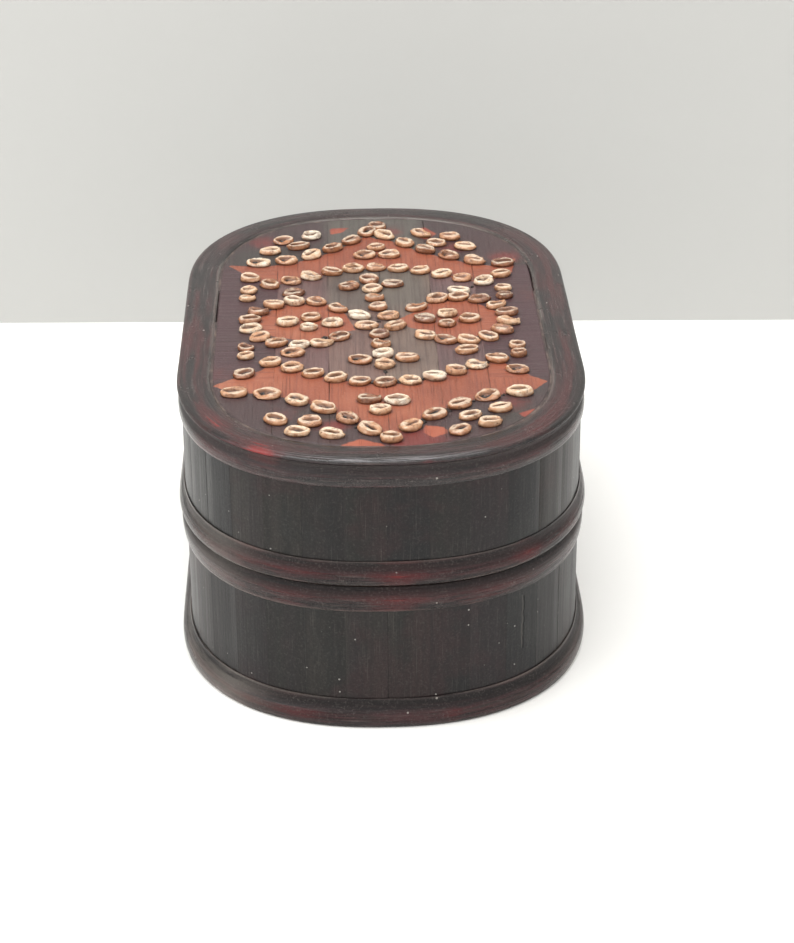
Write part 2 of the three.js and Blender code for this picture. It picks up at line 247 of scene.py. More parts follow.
# %% A writer for shader nodes
class Nodes:
    """Adds nodes to one node tree and links them. Every method gives back a socket."""

    def __init__(self, tree):
        self.tree = tree

    def add(self, kind, inputs=None, **settings):
        """A new node, with its inputs fed and its settings made; gives its outputs."""
        node = self.tree.nodes.new(kind)
        for key, value in settings.items():
            setattr(node, key, value)
        for key, value in (inputs or {}).items():
            self.feed(node.inputs[key], value)
        return node.outputs

    def feed(self, socket, value):
        if isinstance(value, bpy.types.NodeSocket):
            self.tree.links.new(value, socket)
        else:
            socket.default_value = value

    def math(self, operation, *values):
        return self.add("ShaderNodeMath", dict(enumerate(values)), operation=operation)[0]

    def times(self, first, second):
        return self.math("MULTIPLY", first, second)

    def total(self, first, *terms):
        """The sum of values; one given as (value, weight) is multiplied by its weight first."""
        total = self.times(*first) if isinstance(first, tuple) else first
        for term in terms:
            value = self.times(*term) if isinstance(term, tuple) else term
            total = self.math("ADD", total, value)
        return total

    def swing(self, value, reach):
        """A value from 0 to 1 as one that swings round zero, over the given reach."""
        return self.times(self.math("SUBTRACT", value, 0.5), reach)

    def step(self, value, low, high):
        """0 below low, 1 above high and a soft step between them."""
        inputs = {"Value": value, "From Min": low, "From Max": high}
        return self.add("ShaderNodeMapRange", inputs, interpolation_type="SMOOTHSTEP")["Result"]

    def mix(self, share, first, second):
        return self.add("ShaderNodeMix", {0: share, 6: first, 7: second}, data_type="RGBA")[2]

    def paint(self, surface, *coats):
        """Lays coats over a surface, each as (where it covers, how strongly, its colour)."""
        for share, strength, tint in coats:
            covered = share if strength == 1 else self.times(share, strength)
            over = tint if isinstance(tint, bpy.types.NodeSocket) else colour(*tint)
            surface = self.mix(covered, surface, over)
        return surface

    def noise(self, vector, scale, detail=3, roughness=0.55):
        inputs = {"Vector": vector, "Scale": scale, "Detail": detail, "Roughness": roughness}
        return self.add("ShaderNodeTexNoise", inputs)["Fac"]

    def stretch(self, vector, scale, rotation=(0, 0, 0)):
        inputs = {"Vector": vector, "Scale": scale, "Rotation": rotation}
        return self.add("ShaderNodeMapping", inputs)["Vector"]

    def streaky(self, vector, scales, detail=3, roughness=0.55):
        """Noise with its own scale along X and along Y."""
        return self.noise(self.stretch(vector, (*scales, 1)), 1, detail, roughness)

    def line(self, value, at, width):
        """1 where a value is within a line's width of its place, in millimetres, and 0 elsewhere."""
        away = self.math("ABSOLUTE", self.math("SUBTRACT", value, at * MM))
        return self.step(away, width * MM, width * MM * 0.3)

    def spot(self, vector, at, size):
        """1 at a place and 0 beyond its size, both in millimetres."""
        inputs = {0: vector, 1: [value * MM for value in at]}
        away = self.add("ShaderNodeVectorMath", inputs, operation="DISTANCE")["Value"]
        return self.step(away, size * MM, size * MM * 0.6)

    def place(self):
        return self.add("ShaderNodeTexCoord")["Object"]

    def split(self, vector):
        return self.add("ShaderNodeSeparateXYZ", {"Vector": vector})

    def join(self, x, y, z=0):
        return self.add("ShaderNodeCombineXYZ", {"X": x, "Y": y, "Z": z})[0]

    def read(self, name, output="Fac"):
        return self.add("ShaderNodeAttribute", attribute_name=name)[output]

    def ramp(self, value, *stops, interpolation="LINEAR"):
        """Colours along a value, as stops of (place, colour)."""
        node = self.tree.nodes.new("ShaderNodeValToRGB")
        node.color_ramp.interpolation = interpolation
        self.feed(node.inputs["Fac"], value)
        marks = node.color_ramp.elements
        while len(marks) < len(stops):
            marks.new(0.5)
        for mark, (place, tint) in zip(marks, stops):
            mark.position, mark.color = place, colour(*tint)
        return node.outputs["Color"]


def colour(red, green, blue, dimmed=0.74):
    """A colour as the lit piece shows it on a screen, 0 to 255, in the linear values that shaders
    use. The studio light lifts what it falls on, so a finish is dimmed by as much."""
    def linear(value):
        share = value / 255
        return dimmed * (share / 12.92 if share <= 0.04045 else ((share + 0.055) / 1.055) ** 2.4)
    return (linear(red), linear(green), linear(blue), 1.0)


def new_group(name, inputs, outputs):
    """An empty node group; an input without a value is a place. Gives its writer and both ends."""
    tree = bpy.data.node_groups.new(name, "ShaderNodeTree")
    for key, value in inputs.items():
        kind = "NodeSocketVector" if value is None else "NodeSocketFloat"
        socket = tree.interface.new_socket(name=key, in_out="INPUT", socket_type=kind)
        if value is not None:
            socket.default_value = value
    for key in outputs:
        tree.interface.new_socket(name=key, in_out="OUTPUT", socket_type="NodeSocketFloat")
    nodes = Nodes(tree)
    return nodes, nodes.add("NodeGroupInput"), tree.nodes.new("NodeGroupOutput").inputs


def use_group(nodes, name, **inputs):
    node = nodes.tree.nodes.new("ShaderNodeGroup")
    node.node_tree = bpy.data.node_groups[name]
    for key, value in inputs.items():
        nodes.feed(node.inputs[key], value)
    return node.outputs


def new_material(name, tint, roughness=0.5, coat=0.0, coat_roughness=0.2, gloss=0.5):
    """A Principled material with its plain values set; gives it, its writer and the shader."""
    material = bpy.data.materials.new(name)
    material.use_nodes = True
    material.diffuse_color = colour(*tint)
    shader = material.node_tree.nodes["Principled BSDF"].inputs
    for key, value in (
        ("Base Color", colour(*tint)), ("Roughness", roughness), ("Coat Weight", coat),
        ("Coat Roughness", coat_roughness), ("Specular IOR Level", gloss),
    ):
        shader[key].default_value = value
    return material, Nodes(material.node_tree), shader


def finish(nodes, shader, surface, roughness, relief, depth, strength):
    """Feeds a finish to its shader; the relief's depth is in millimetres."""
    nodes.feed(shader["Base Color"], surface)
    nodes.feed(shader["Roughness"], roughness)
    inputs = {"Height": relief, "Distance": depth * MM, "Strength": strength}
    nodes.feed(shader["Normal"], nodes.add("ShaderNodeBump", inputs)["Normal"])


# %% [markdown]
# Wood grain shows on every wooden piece here: long, thin streaks in one direction, some darker
# pores, and slow changes of tone. The group takes a place in metres whose X runs along the grain.

# %% Group for wood grain
def grain_group():
    nodes, given, result = new_group(
        "wood_grain", {"Place": None, "Length": 40.0, "Fineness": 900.0}, ("Streaks", "Pores", "Tone"),
    )

    def stretched(along, across, detail, roughness=0.55):
        thin = nodes.times(given["Fineness"], across)
        scale = nodes.join(nodes.times(given["Length"], along), thin, thin)
        return nodes.noise(nodes.stretch(given["Place"], scale), 1, detail, roughness)

    nodes.feed(result["Streaks"], stretched(1, 0.5, 4, 0.6))
    nodes.feed(result["Pores"], nodes.step(stretched(3, 1.6, 2), 0.6, 0.72))
    nodes.feed(result["Tone"], nodes.noise(nodes.stretch(given["Place"], (35, 70, 70)), 1, 2))


grain_group()


# %% [markdown]
# Old lacquer gathers pale specks of dust and small nicks. They are few, small and of mixed size,
# so a cell pattern is thinned out: only cells with a high random value keep their dot.

# %% Group for dust specks
def speck_group():
    nodes, given, result = new_group(
        "dust_specks", {"Place": None, "Spacing": 260.0, "Rarity": 0.8}, ("Specks",),
    )
    cells = nodes.add("ShaderNodeTexVoronoi", {"Vector": given["Place"], "Scale": given["Spacing"]})
    pick = nodes.add("ShaderNodeSeparateColor", {"Color": cells["Color"]})
    near = nodes.math("LESS_THAN", cells["Distance"], nodes.total((pick[1], 0.1), 0.03))
    kept = nodes.math("GREATER_THAN", pick[0], given["Rarity"])
    nodes.feed(result["Specks"], nodes.times(near, kept))


speck_group()


# %% [markdown]
# The camera stands in front of the near end, a little to its left, and looks down on the lid.
# The lens follows from the photograph's perspective: 2400 pixels of focal length in an image 794
# pixels wide.

# %% Camera
IMAGE_WIDTH = 794
FOCAL_PIXELS = 2400
CAMERA_PLACE = Vector((-13.8, -734.7, 410.8)) * MM
CAMERA_DOWN = math.radians(27.09)
CAMERA_YAW = math.radians(1.54)
CAMERA_ROLL = math.radians(-0.42)


def add_camera():
    ahead = Vector((
        math.sin(CAMERA_YAW) * math.cos(CAMERA_DOWN),
        math.cos(CAMERA_YAW) * math.cos(CAMERA_DOWN),
        -math.sin(CAMERA_DOWN),
    ))
    right = Vector((math.cos(CAMERA_YAW), -math.sin(CAMERA_YAW), 0))
    up = right.cross(ahead)
    tilted_right = math.cos(CAMERA_ROLL) * right + math.sin(CAMERA_ROLL) * up
    tilted_up = math.cos(CAMERA_ROLL) * up - math.sin(CAMERA_ROLL) * right
    turn = Matrix((tilted_right, tilted_up, -ahead)).transposed()
    start_clean()
    bpy.ops.object.camera_add(location=CAMERA_PLACE, rotation=turn.to_euler())
    camera = bpy.context.object
    camera.data.sensor_width = 36.0
    camera.data.sensor_fit = "HORIZONTAL"
    camera.data.lens = 36.0 * FOCAL_PIXELS / IMAGE_WIDTH
    camera.data.clip_start = 0.01
    bpy.context.scene.camera = camera


add_camera()


# %% [markdown]
# The rims are bent strips of wood under dark lacquer. Handling has rubbed them through to red
# brown where they stand out most, and dust dulls the lacquer. The coves under the mouldings and
# the seam are painted dark as shade and made rougher. Some edges and spots are painted pale: partly
# worn lacquer, partly painted highlight, and silver streaks near the top rim's outer edge are a
# painted highlight. The grain runs along each rim. Where a rim is rubbed is kept on its mesh: a slow
# pattern, stronger at a few worn places.

# %% Lacquer of the rims
# Glued ends of the top rim's strips, as lines y + lean * |x| = far on one side: side, far, lean
TOP_JOINTS = [(1, 21.1, 0.256), (-1, 67.1, 0.57)]
# Worm holes: place in millimetres and size
PINHOLES = [((54.0, -80.6, 1.6), 0.7), ((-61.6, -63.9, 85.0), 0.8)]
# The strips' glued ends show above this height
JOINTS_FROM = 82.6 * MM


def rim_material(name, gloss):
    material, nodes, shader = new_material(name, (44, 33, 31), 0.3, gloss=gloss)
    lie = nodes.read("lie", "Vector")
    place = nodes.place()
    painted_shade = nodes.read("painted_shade")
    grain = use_group(nodes, "wood_grain", Place=lie, Length=60, Fineness=1900)
    streaks, pores = grain["Streaks"], grain["Pores"]
    blotch = nodes.streaky(lie, (22, 230), 5, 0.62)
    lines = nodes.streaky(lie, (14, 900), 4, 0.65)
    highlight_streaks = nodes.streaky(lie, (60, 2600), 3, 0.6)
    speckle = nodes.noise(place, 1500, 3, 0.8)
    dusty = nodes.step(nodes.noise(place, 120, 5, 0.7), 0.5, 0.75)
    dust = nodes.times(nodes.step(speckle, 0.5, 0.72), nodes.total(0.2, (dusty, 0.36)))
    specks = use_group(nodes, "dust_specks", Place=place, Spacing=330, Rarity=0.9)["Specks"]
    red_brown = nodes.mix(streaks, colour(96, 36, 38), colour(56, 26, 28))
    rubbed = nodes.total(nodes.read("rub"), nodes.swing(blotch, 2.6), nodes.swing(lines, 1.8))
    surface = nodes.ramp(blotch, (0.3, (24, 21, 22)), (0.45, (42, 30, 31)), (0.56, (68, 38, 40)),
                         (0.68, (50, 44, 42)), (0.8, (84, 42, 45)))
    surface = nodes.paint(
        surface,
        (nodes.step(lines, 0.45, 0.57), 0.72, (15, 11, 12)),
        (nodes.step(streaks, 0.53, 0.68), 0.26, (118, 102, 98)),
        (nodes.step(rubbed, 0.35, 1), 0.75, red_brown),
        (nodes.step(rubbed, 1.2, 2.1), 0.75, (158, 46, 44)),
        # The coves under the mouldings and the seam are painted dark: painted shade
        (painted_shade, 0.85, (20, 12, 13)),
        # Silver streaks near the top rim's outer edge, strongest at the near end: a painted highlight
        (nodes.times(nodes.read("edge"), nodes.step(highlight_streaks, 0.48, 0.56)), 0.5, (206, 202, 206)),
        (pores, 0.6, (12, 10, 11)),
        (dust, 1, (136, 128, 122)),
        (specks, 0.6, (190, 182, 174)),
        # Pale edges and spots: partly worn lacquer, partly painted highlight and painted reflection of
        # the bright room
        (nodes.times(nodes.read("worn_and_lit_edge"), nodes.step(blotch, 0.36, 0.56)), 0.42, (150, 144, 136)),
    )
    axes = nodes.split(place)
    high = nodes.math("GREATER_THAN", axes["Z"], JOINTS_FROM)
    wobble = nodes.swing(speckle, 0.6 * MM)
    for side, far, lean in TOP_JOINTS:
        here = nodes.math("GREATER_THAN", nodes.times(axes["X"], side), 0.05)
        slant = nodes.total((nodes.math("ABSOLUTE", axes["X"]), lean), wobble)
        crossing = nodes.line(nodes.total(axes["Y"], slant), far, 0.5)
        surface = nodes.paint(surface, (nodes.times(crossing, nodes.times(here, high)), 0.8, (9, 7, 7)))
    for at, size in PINHOLES:
        surface = nodes.paint(surface, (nodes.spot(place, at, size), 1, (6, 4, 4)))
    roughness = nodes.total(0.12, (dusty, 0.12), (streaks, 0.16), (painted_shade, 0.3))
    relief = nodes.total(streaks, (pores, -0.7), (lines, 1.8), (blotch, 1.6), (speckle, 0.35))
    finish(nodes, shader, surface, roughness, relief, 0.28, 0.5)
    return material


rubbed_lacquer = rim_material("rubbed_lacquer", 0.44)
low_rim_lacquer = rim_material("low_rim_lacquer", 0.26)


# %% [markdown]
# The staves are thin upright strips glued edge to edge, so the wall's grain runs up and down.
# Each stave has its own tone. The lacquer is thinner than on the rims and shows dark lines where
# the wood has dried and opened.

# %% Lacquer of the staves
# A worm hole in the lid's wall, and a crack in the base's wall: its distance round the plan and
# its lowest and highest point, all in millimetres
WORM_HOLE = (-49.3, -86.4, 59.6)
CRACK_AT = 480.6
CRACK_HEIGHTS = (18, 38)


def stave_material():
    material, nodes, shader = new_material("staved_lacquer", (52, 46, 44), 0.3, gloss=0.27)
    lie = nodes.split(nodes.read("lie", "Vector"))
    upright = nodes.join(lie["Y"], lie["X"])
    place = nodes.place()
    grain = use_group(nodes, "wood_grain", Place=upright, Length=22, Fineness=1300)
    streaks = grain["Streaks"]
    bands = nodes.streaky(upright, (6, 150), 4, 0.6)
    broken = nodes.step(nodes.streaky(upright, (70, 12), 4), 0.4, 0.6)
    cloud = nodes.noise(place, 34, 4, 0.6)
    speckle = nodes.noise(place, 1300, 3, 0.85)
    specks = use_group(nodes, "dust_specks", Place=place, Spacing=400, Rarity=0.86)["Specks"]
    tone = nodes.total((nodes.read("tone"), 0.6), (bands, 0.4))
    height = nodes.split(place)["Z"]
    low, high = CRACK_HEIGHTS
    within = nodes.times(nodes.step(height, low * MM, (low + 2) * MM),
                         nodes.step(height, high * MM, (high - 1) * MM))
    stray = nodes.noise(nodes.stretch(place, (0, 0, 220)), 1, 2)
    along = nodes.total(lie["X"], (stray, 2.2 * MM))
    crack = nodes.times(nodes.line(along, CRACK_AT, 0.5), within)
    flank = nodes.times(nodes.line(along, CRACK_AT - 0.5, 0.45), within)
    cut = nodes.math("MAXIMUM", nodes.times(crack, 0.95), nodes.spot(place, WORM_HOLE, 1.1))
    surface = nodes.ramp(tone, (0.3, (17, 17, 20)), (0.42, (31, 26, 26)), (0.5, (26, 25, 23)),
                         (0.58, (40, 36, 33)), (0.68, (31, 23, 26)))
    surface = nodes.paint(
        surface,
        (nodes.step(cloud, 0.48, 0.62), 0.6, (48, 27, 29)),
        (nodes.step(cloud, 0.46, 0.34), 0.6, (30, 31, 30)),
        (nodes.step(speckle, 0.5, 0.72), 0.36, (84, 80, 76)),
        (nodes.step(speckle, 0.48, 0.32), 0.6, (14, 13, 14)),
        (nodes.step(streaks, 0.42, 0.66), 0.4, (22, 20, 21)),
        (grain["Pores"], 0.16, (110, 104, 98)),
        (nodes.times(nodes.read("joint"), broken), 0.7, (11, 9, 10)),
        (flank, 0.25, (112, 106, 98)),
        (specks, 0.6, (196, 192, 186)),
        (cut, 1, (6, 4, 4)),
    )
    roughness = nodes.total(0.2, (streaks, 0.2), (cloud, 0.16))
    relief = nodes.total((bands, 1.2), (streaks, 0.6), (speckle, 0.4), (cut, -5))
    finish(nodes, shader, surface, roughness, relief, 0.26, 0.6)
    return material


staved_lacquer = stave_material()


# %% [markdown]
# Inside, the wood was never lacquered. One plain wood serves the inner walls and the floor board:
# warm brown, dull and a little dirty.

# %% Bare wood of the inside
def bare_material(name, upright):
    material, nodes, shader = new_material(name, (112, 84, 60), 0.75)
    turn = (0, math.pi / 2, 0) if upright else (0, 0, math.pi / 2)
    turned = nodes.stretch(nodes.place(), (1, 1, 1), turn)
    grain = use_group(nodes, "wood_grain", Place=turned, Length=14, Fineness=700)
    streaks, tone = grain["Streaks"], grain["Tone"]
    surface = nodes.paint(
        nodes.ramp(streaks, (0.3, (84, 60, 42)), (0.55, (116, 87, 62)), (0.75, (136, 106, 78))),
        (nodes.step(tone, 0.45, 0.75), 0.5, (74, 54, 40)),
        (grain["Pores"], 0.5, (52, 36, 26)),
    )
    finish(nodes, shader, surface, nodes.total(0.62, (tone, 0.25)), streaks, 0.3, 0.5)
    return material


bare_floor_wood = bare_material("bare_floor_wood", False)
bare_wall_wood = bare_material("bare_wall_wood", True)


# %% [markdown]
# The rims' faces are soft mouldings. Each is given as a share of how far the rim stands out and a
# share of its height, and a few subdivisions of that outline keep the curve smooth. The inner
# face lies against the wall.

# %% Rim strips
WALL_INSET = 1.2 * MM
RIM_FIT = 0.3 * MM
RIM_GAP = 0.02 * MM
RIM_STATIONS = 396


def smooth_outline(points, steps):
    """A soft curve through given points, with steps between them."""
    ends = np.array([points[0], *points, points[-1]])
    line = []
    for p, q, r, s in zip(ends, ends[1:], ends[2:], ends[3:]):
        for t in np.arange(steps) / steps:
            bend = (2 * p - 5 * q + 4 * r - s) * t ** 2 + (3 * q - p - 3 * r + s) * t ** 3
            line.append(tuple(0.5 * (2 * q + (r - p) * t + bend)))
    return [*line, points[-1]]


def moulded_section(proud, bottom, top, moulding):
    face = [
        (WALL_INSET - proud * out, bottom + (top - bottom) * up)
        for out, up in smooth_outline(moulding, 4)
    ]
    inner = WALL_INSET - RIM_GAP
    return [(inner, bottom), *face, (inner, top)]


FOOT_FACE = [(0.72, 0.0), (0.84, 0.02), (0.92, 0.1), (0.99, 0.2), (0.99, 0.34), (0.9, 0.48), (0.66, 0.6),
             (0.4, 0.72), (0.24, 0.86), (0.14, 1.0)]
LID_FACE = [(0.08, 0.0), (0.4, 0.02), (0.74, 0.08), (0.95, 0.17), (1.0, 0.28), (0.92, 0.42), (0.66, 0.56),
            (0.4, 0.68), (0.26, 0.84), (0.18, 1.0)]
BASE_FACE = [(0.28, 0.0), (0.46, 0.015), (0.66, 0.09), (0.88, 0.27), (0.99, 0.48), (0.94, 0.68),
             (0.7, 0.84), (0.36, 0.95), (0.2, 1.0)]
# Where over a rim's height its cove, and the seam between lid and base, are painted dark as shade, as
# (share of the height, darkness)
UPPER_COVE_SHADE = [(0.5, 0), (0.66, 0.9), (0.88, 1), (0.95, 0.3)]
LID_SEAM_AND_COVE_SHADE = [(0, 1), (0.06, 1), (0.1, 0), *UPPER_COVE_SHADE]
SEAM_SHADE = [(0.5, 0), (0.72, 0.8), (0.86, 1), (1, 1)]
# Where a strip is painted pale along its edges: partly worn lacquer, partly painted highlight
BOTH_EDGES = [(0, 0.5), (0.04, 0.5), (0.1, 0), (0.93, 0), (0.97, 0.5), (1, 0.5)]
ABOVE_SEAM = [(0.08, 0), (0.12, 0.8), (0.18, 0), (0.93, 0), (0.97, 0.4), (1, 0.4)]
BOTTOM_EDGE = [(0, 0.6), (0.05, 0.5), (0.1, 0)]


def worn_places(piece, spots, ground):
    """How far each vertex is rubbed: a ground level, and soft spots as (x, y, z, size, amount)."""
    rows = places(piece)
    rub = np.full(len(rows), float(ground))
    for x, y, z, size, amount in spots:
        away = np.linalg.norm(rows - np.array((x, y, z)) * MM, axis=1)
        rub += amount * np.exp(-((away / (size * MM)) ** 2))
    attribute(piece, "rub", rub)


def add_spots(piece, name, spots):
    """Adds soft spots, as (x, y, z, size, amount), to a value that a piece already keeps."""
    for vertex, kept in zip(piece.data.vertices, piece.data.attributes[name].data):
        for x, y, z, size, amount in spots:
            away = (vertex.co / MM - Vector((x, y, z))).length / size
            kept.value += amount * math.exp(-away * away)


def shaded_band(piece, name, marks):
    """Keeps a value that follows a piece's height, as marks of (share of its height, value)."""
    height = places(piece)[:, 2]
    share = (height - height.min()) / (height.max() - height.min())
    attribute(piece, name, np.interp(share, *zip(*marks)))


def rim_strip(node, proud, moulding, painted_shade, edges, seed, ground, spots, pale_lit_spots):
    low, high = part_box(node)
    section = moulded_section(proud, low[2], high[2], moulding)
    last = len(section) - 1

    def dent(step, distance):
        if step in (0, last):
            return 0
        return 0.2 * MM * (1 + wander(distance, section[step][1], 0.022, seed)) / 2

    piece, _ = ring(node.replace("rim", "bent_rim"), section, even_stations(RIM_STATIONS), dent)
    worn_places(piece, spots, ground)
    shaded_band(piece, "painted_shade", painted_shade)
    shaded_band(piece, "worn_and_lit_edge", edges)
    # The pale spots, mostly on the left side, are painted reflection of the light from the left
    add_spots(piece, "worn_and_lit_edge", pale_lit_spots)
    piece.data.materials.append(low_rim_lacquer)
    soften(piece, 50)
    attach(piece, "root")
    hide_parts(node)
    print(node, "modelled with", len(piece.data.polygons), "faces")
    return piece


rim_strip("base_foot_rim", 3.2 * MM, FOOT_FACE, UPPER_COVE_SHADE, BOTH_EDGES, 1, 0.0, [
    (-27, -101, 3.8, 9, 0.55), (-44, -92, 3.5, 9, 0.4), (20, -104, 3, 4, 0.8), (4, -106, 1, 9, 0.3),
], [(-52, -88, 5, 14, 0.7), (-62, -60, 4, 20, 0.6), (60, -70, 5, 16, 0.3)])
rim_strip("base_top_rim", 1.5 * MM, BASE_FACE, SEAM_SHADE, BOTTOM_EDGE, 2, 0.16, [
    (3, -106, 46, 8, 0.8), (0, -105, 44, 22, 0.3), (30, -99, 43, 14, 0.4), (-32, -99, 44, 10, 0.4),
    (60, -60, 44, 10, 0.3),
], [(-56, -82, 45, 16, 0.4)])
rim_strip("lid_bottom_rim", 2.1 * MM, LID_FACE, LID_SEAM_AND_COVE_SHADE, ABOVE_SEAM, 3, 0.12, [
    (3, -107, 54, 7, 1.0), (43.7, -92, 55.5, 6, 1.0), (-42.8, -92.5, 56.5, 7, 0.7),
    (-26, -101, 54, 12, 0.45), (10, -105, 55, 14, 0.3), (58, -70, 54, 10, 0.4),
], [(-54, -84, 53, 15, 0.5), (-64, -55, 53, 16, 0.4)])


# %% [markdown]
# The top rim is one wide strip bent round the lid. Its top face is nearly flat, its outer edge is
# rounded over and turns down outside the wall. On the inner side a small bevel leaves the groove
# that shows where rim and board meet.

# %% Top rim
TOP_RIM_WIDTH = 11 * MM
TOP_RIM_THICKNESS = 5 * MM
TOP_EDGE = 1.3 * MM
ARC_BELOW_TOP = 0.25 * MM
# Outer face of the top rim from the bottom up, in millimetres: a bead, a cove painted dark as shade, and
# the edge
TOP_FACE = [(0.78, 0), (0.6, 0.06), (0.3, 0.5), (0.16, 1.4), (0.2, 2.5), (0.42, 3.4), (0.8, 4.2),
            (1.3, 5.0), (1.6, 5.8), (1.6, 6.6), (1.2, 7.2), (0.45, 7.65), (0.02, 8.0)]
# Its top from the outer edge to the inner: inset and how far below the highest line, in millimetres
TOP_CROWN = [(3.4, 0.1), (5.6, 0.02), (7.6, 0), (9.2, 0.08), (10.1, 0.3), (10.7, 0.75), (10.95, 1.3)]
# Where handling has rubbed it red, as (x, y, z, size, amount)
TOP_RUBS = [
    (-40, -94.5, 90.6, 5.4, 1.6), (-34.5, -97.6, 90.2, 4.4, 1.3), (-47, -89, 90, 4, 0.6),
    (-55, -78, 89, 8, 0.35), (-5, -105, 90, 8, 0.4), (12.4, -104.4, 89.9, 2.4, 1.2),
    (50, -86, 89, 8, 0.6), (34, -98, 89.5, 8, 0.5), (42, -86, 92, 10, 0.45), (54, -70, 92, 12, 0.3),
    (-60, -15, 92, 18, 0.5), (57, 30, 92, 15, 0.5), (-20, -97, 92, 9, 0.3), (40, 92, 92, 16, 0.3),
    (-62, -62, 88, 6, 0.4), (-54, -74, 92, 14, 0.45),
]
# Where over the top rim's height its cove is painted dark as shade, as (share of the height, darkness)
TOP_COVE_SHADE = [(0.34, 0), (0.46, 0.9), (0.82, 0.95), (0.88, 0)]


def top_rim_section():
    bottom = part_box("lid_top_rim")[0][2]
    ledge = LID_TOP - TOP_RIM_THICKNESS
    inner = WALL_INSET - RIM_GAP
    face = [(inset * MM, bottom + rise * MM) for inset, rise in smooth_outline(TOP_FACE, 3)]
    arc_top = LID_TOP - ARC_BELOW_TOP
    arc = [
        (TOP_EDGE * (1 - math.cos(angle)), arc_top - (TOP_EDGE - ARC_BELOW_TOP) * (1 - math.sin(angle)))
        for angle in np.linspace(0, math.pi / 2, 8)[1:]
    ]
    top = [(inset * MM, LID_TOP - below * MM) for inset, below in TOP_CROWN]
    return [(inner, bottom), *face, *arc, *top, (TOP_RIM_WIDTH, ledge), (inner, ledge)]


def inner_edge(piece):
    """The nearest point of the top rim's inner edge for each vertex, as far as x and y go."""
    points, outward = on_plan(even_stations(RIM_STATIONS * 2))
    edge = points - outward * TOP_RIM_WIDTH
    rows = places(piece)[:, :2]
    return np.array([edge[int(np.argmin(np.sum((edge - row) ** 2, axis=1)))] for row in rows])


def top_rim():
    section = top_rim_section()
    held = {0, len(section) - 2, len(section) - 1}

    def dent(step, distance):
        if step in held:
            return 0
        return 0.24 * MM * (1 + wander(distance, section[step][1], 0.024, 5)) / 2

    piece, _ = ring("lid_top_bent_rim", section, even_stations(RIM_STATIONS), dent)
    worn_places(piece, TOP_RUBS, 0.05)
    shaded_band(piece, "painted_shade", TOP_COVE_SHADE)
    rows = places(piece)
    high = rows[:, 2] > LID_TOP - 1.3 * MM
    lie_in = np.hypot(*(rows[:, :2] - inner_edge(piece)).T) / MM
    middle = np.exp(-(((lie_in - 6) / 2.2) ** 2)) * (np.abs(rows[:, 1]) < 80 * MM) * high
    for kept, more in zip(piece.data.attributes["rub"].data, middle):
        kept.value += 0.62 * more
    # A pale line along the inner edge of the top face: partly wear, partly painted highlight
    attribute(piece, "worn_and_lit_edge", np.clip(1.4 - lie_in, 0, 1) * high)
    # Where the painted highlight's silver streaks lie: near the outer edge of the top face, strongest at
    # the near end
    near = np.clip((-rows[:, 1] / MM - 92) / 8, 0.12, 1) * np.exp(-(((rows[:, 0] / MM + 2) / 30) ** 4))
    attribute(piece, "edge", np.exp(-(((lie_in - 9.4) / 0.75) ** 2)) * near * high)
    piece.data.materials.append(rubbed_lacquer)
    soften(piece, 50)
    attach(piece, "root")
    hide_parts("lid_top_rim")
    print("top rim modelled with", len(piece.data.polygons), "faces")


top_rim()


# %% [markdown]
# The walls are rings too, but their loop of vertices follows the staves: two close together at
# each joint and three across each stave, so that a joint can sink between flat edges. No two
# joints are alike, so their depth and width come from seeded random numbers.

# %% Staved walls
STAVES = 44
WALL_THICKNESS = 4 * MM
LIP_THICKNESS = 1.8 * MM
LIP_CLEARANCE = 0.4 * MM


def stave_wall(node, outer_heights, inner_section, seed):
    """A wall of staves; the outer face takes the given heights, and the rest its own section."""
    chance = np.random.default_rng(seed)
    pitch = GIRTH / STAVES
    widths = 0.1 * MM + 0.12 * MM * chance.random(STAVES)
    depths = 0.02 * MM + 0.16 * MM * chance.random(STAVES) ** 2
    raised = 0.12 * MM * chance.random(STAVES)
    tones = chance.random(STAVES)
    distances, depth_at, stave_of = [], [], []
    for i in range(STAVES):
        start = i * pitch
        after = widths[i]
        before = widths[(i + 1) % STAVES]
        offsets = (0, after, pitch * 0.3, pitch * 0.7, pitch - before)
        distances += [start + offset for offset in offsets]
        depth_at += [depths[i], 0, 0, 0, 0]
        stave_of += [i] * 5
    distances = np.array(distances)
    sunk = dict(zip(distances, depth_at))
    stave = dict(zip(distances, stave_of))
    section = [(WALL_INSET, height) for height in outer_heights] + inner_section
    outer_steps = len(outer_heights)

    def dent(step, distance):
        if step >= outer_steps:
            return 0
        return sunk[distance] + raised[stave[distance]] * (sunk[distance] == 0)

    piece, lie = ring(node.replace("wall", "staves"), section, distances, dent)
    index = np.clip(np.searchsorted(distances, lie[:, 0] + 1e-6) - 1, 0, len(distances) - 1)
    attribute(piece, "tone", tones[np.array(stave_of)[index]])
    attribute(piece, "joint", np.clip(np.array(depth_at)[index] / (0.2 * MM), 0, 1))
    piece.data.materials.append(staved_lacquer)
    piece.data.materials.append(bare_wall_wood)
    for face in piece.data.polygons:
        outward = face.normal.xy.dot(face.center.xy) > 0 and abs(face.normal.z) < 0.5
        face.material_index = 0 if outward and face.center.z < outer_heights[-1] else 1
    soften(piece, 30)
    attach(piece, "root")
    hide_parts(node)
    print(node, "modelled with", len(piece.data.polygons), "faces")


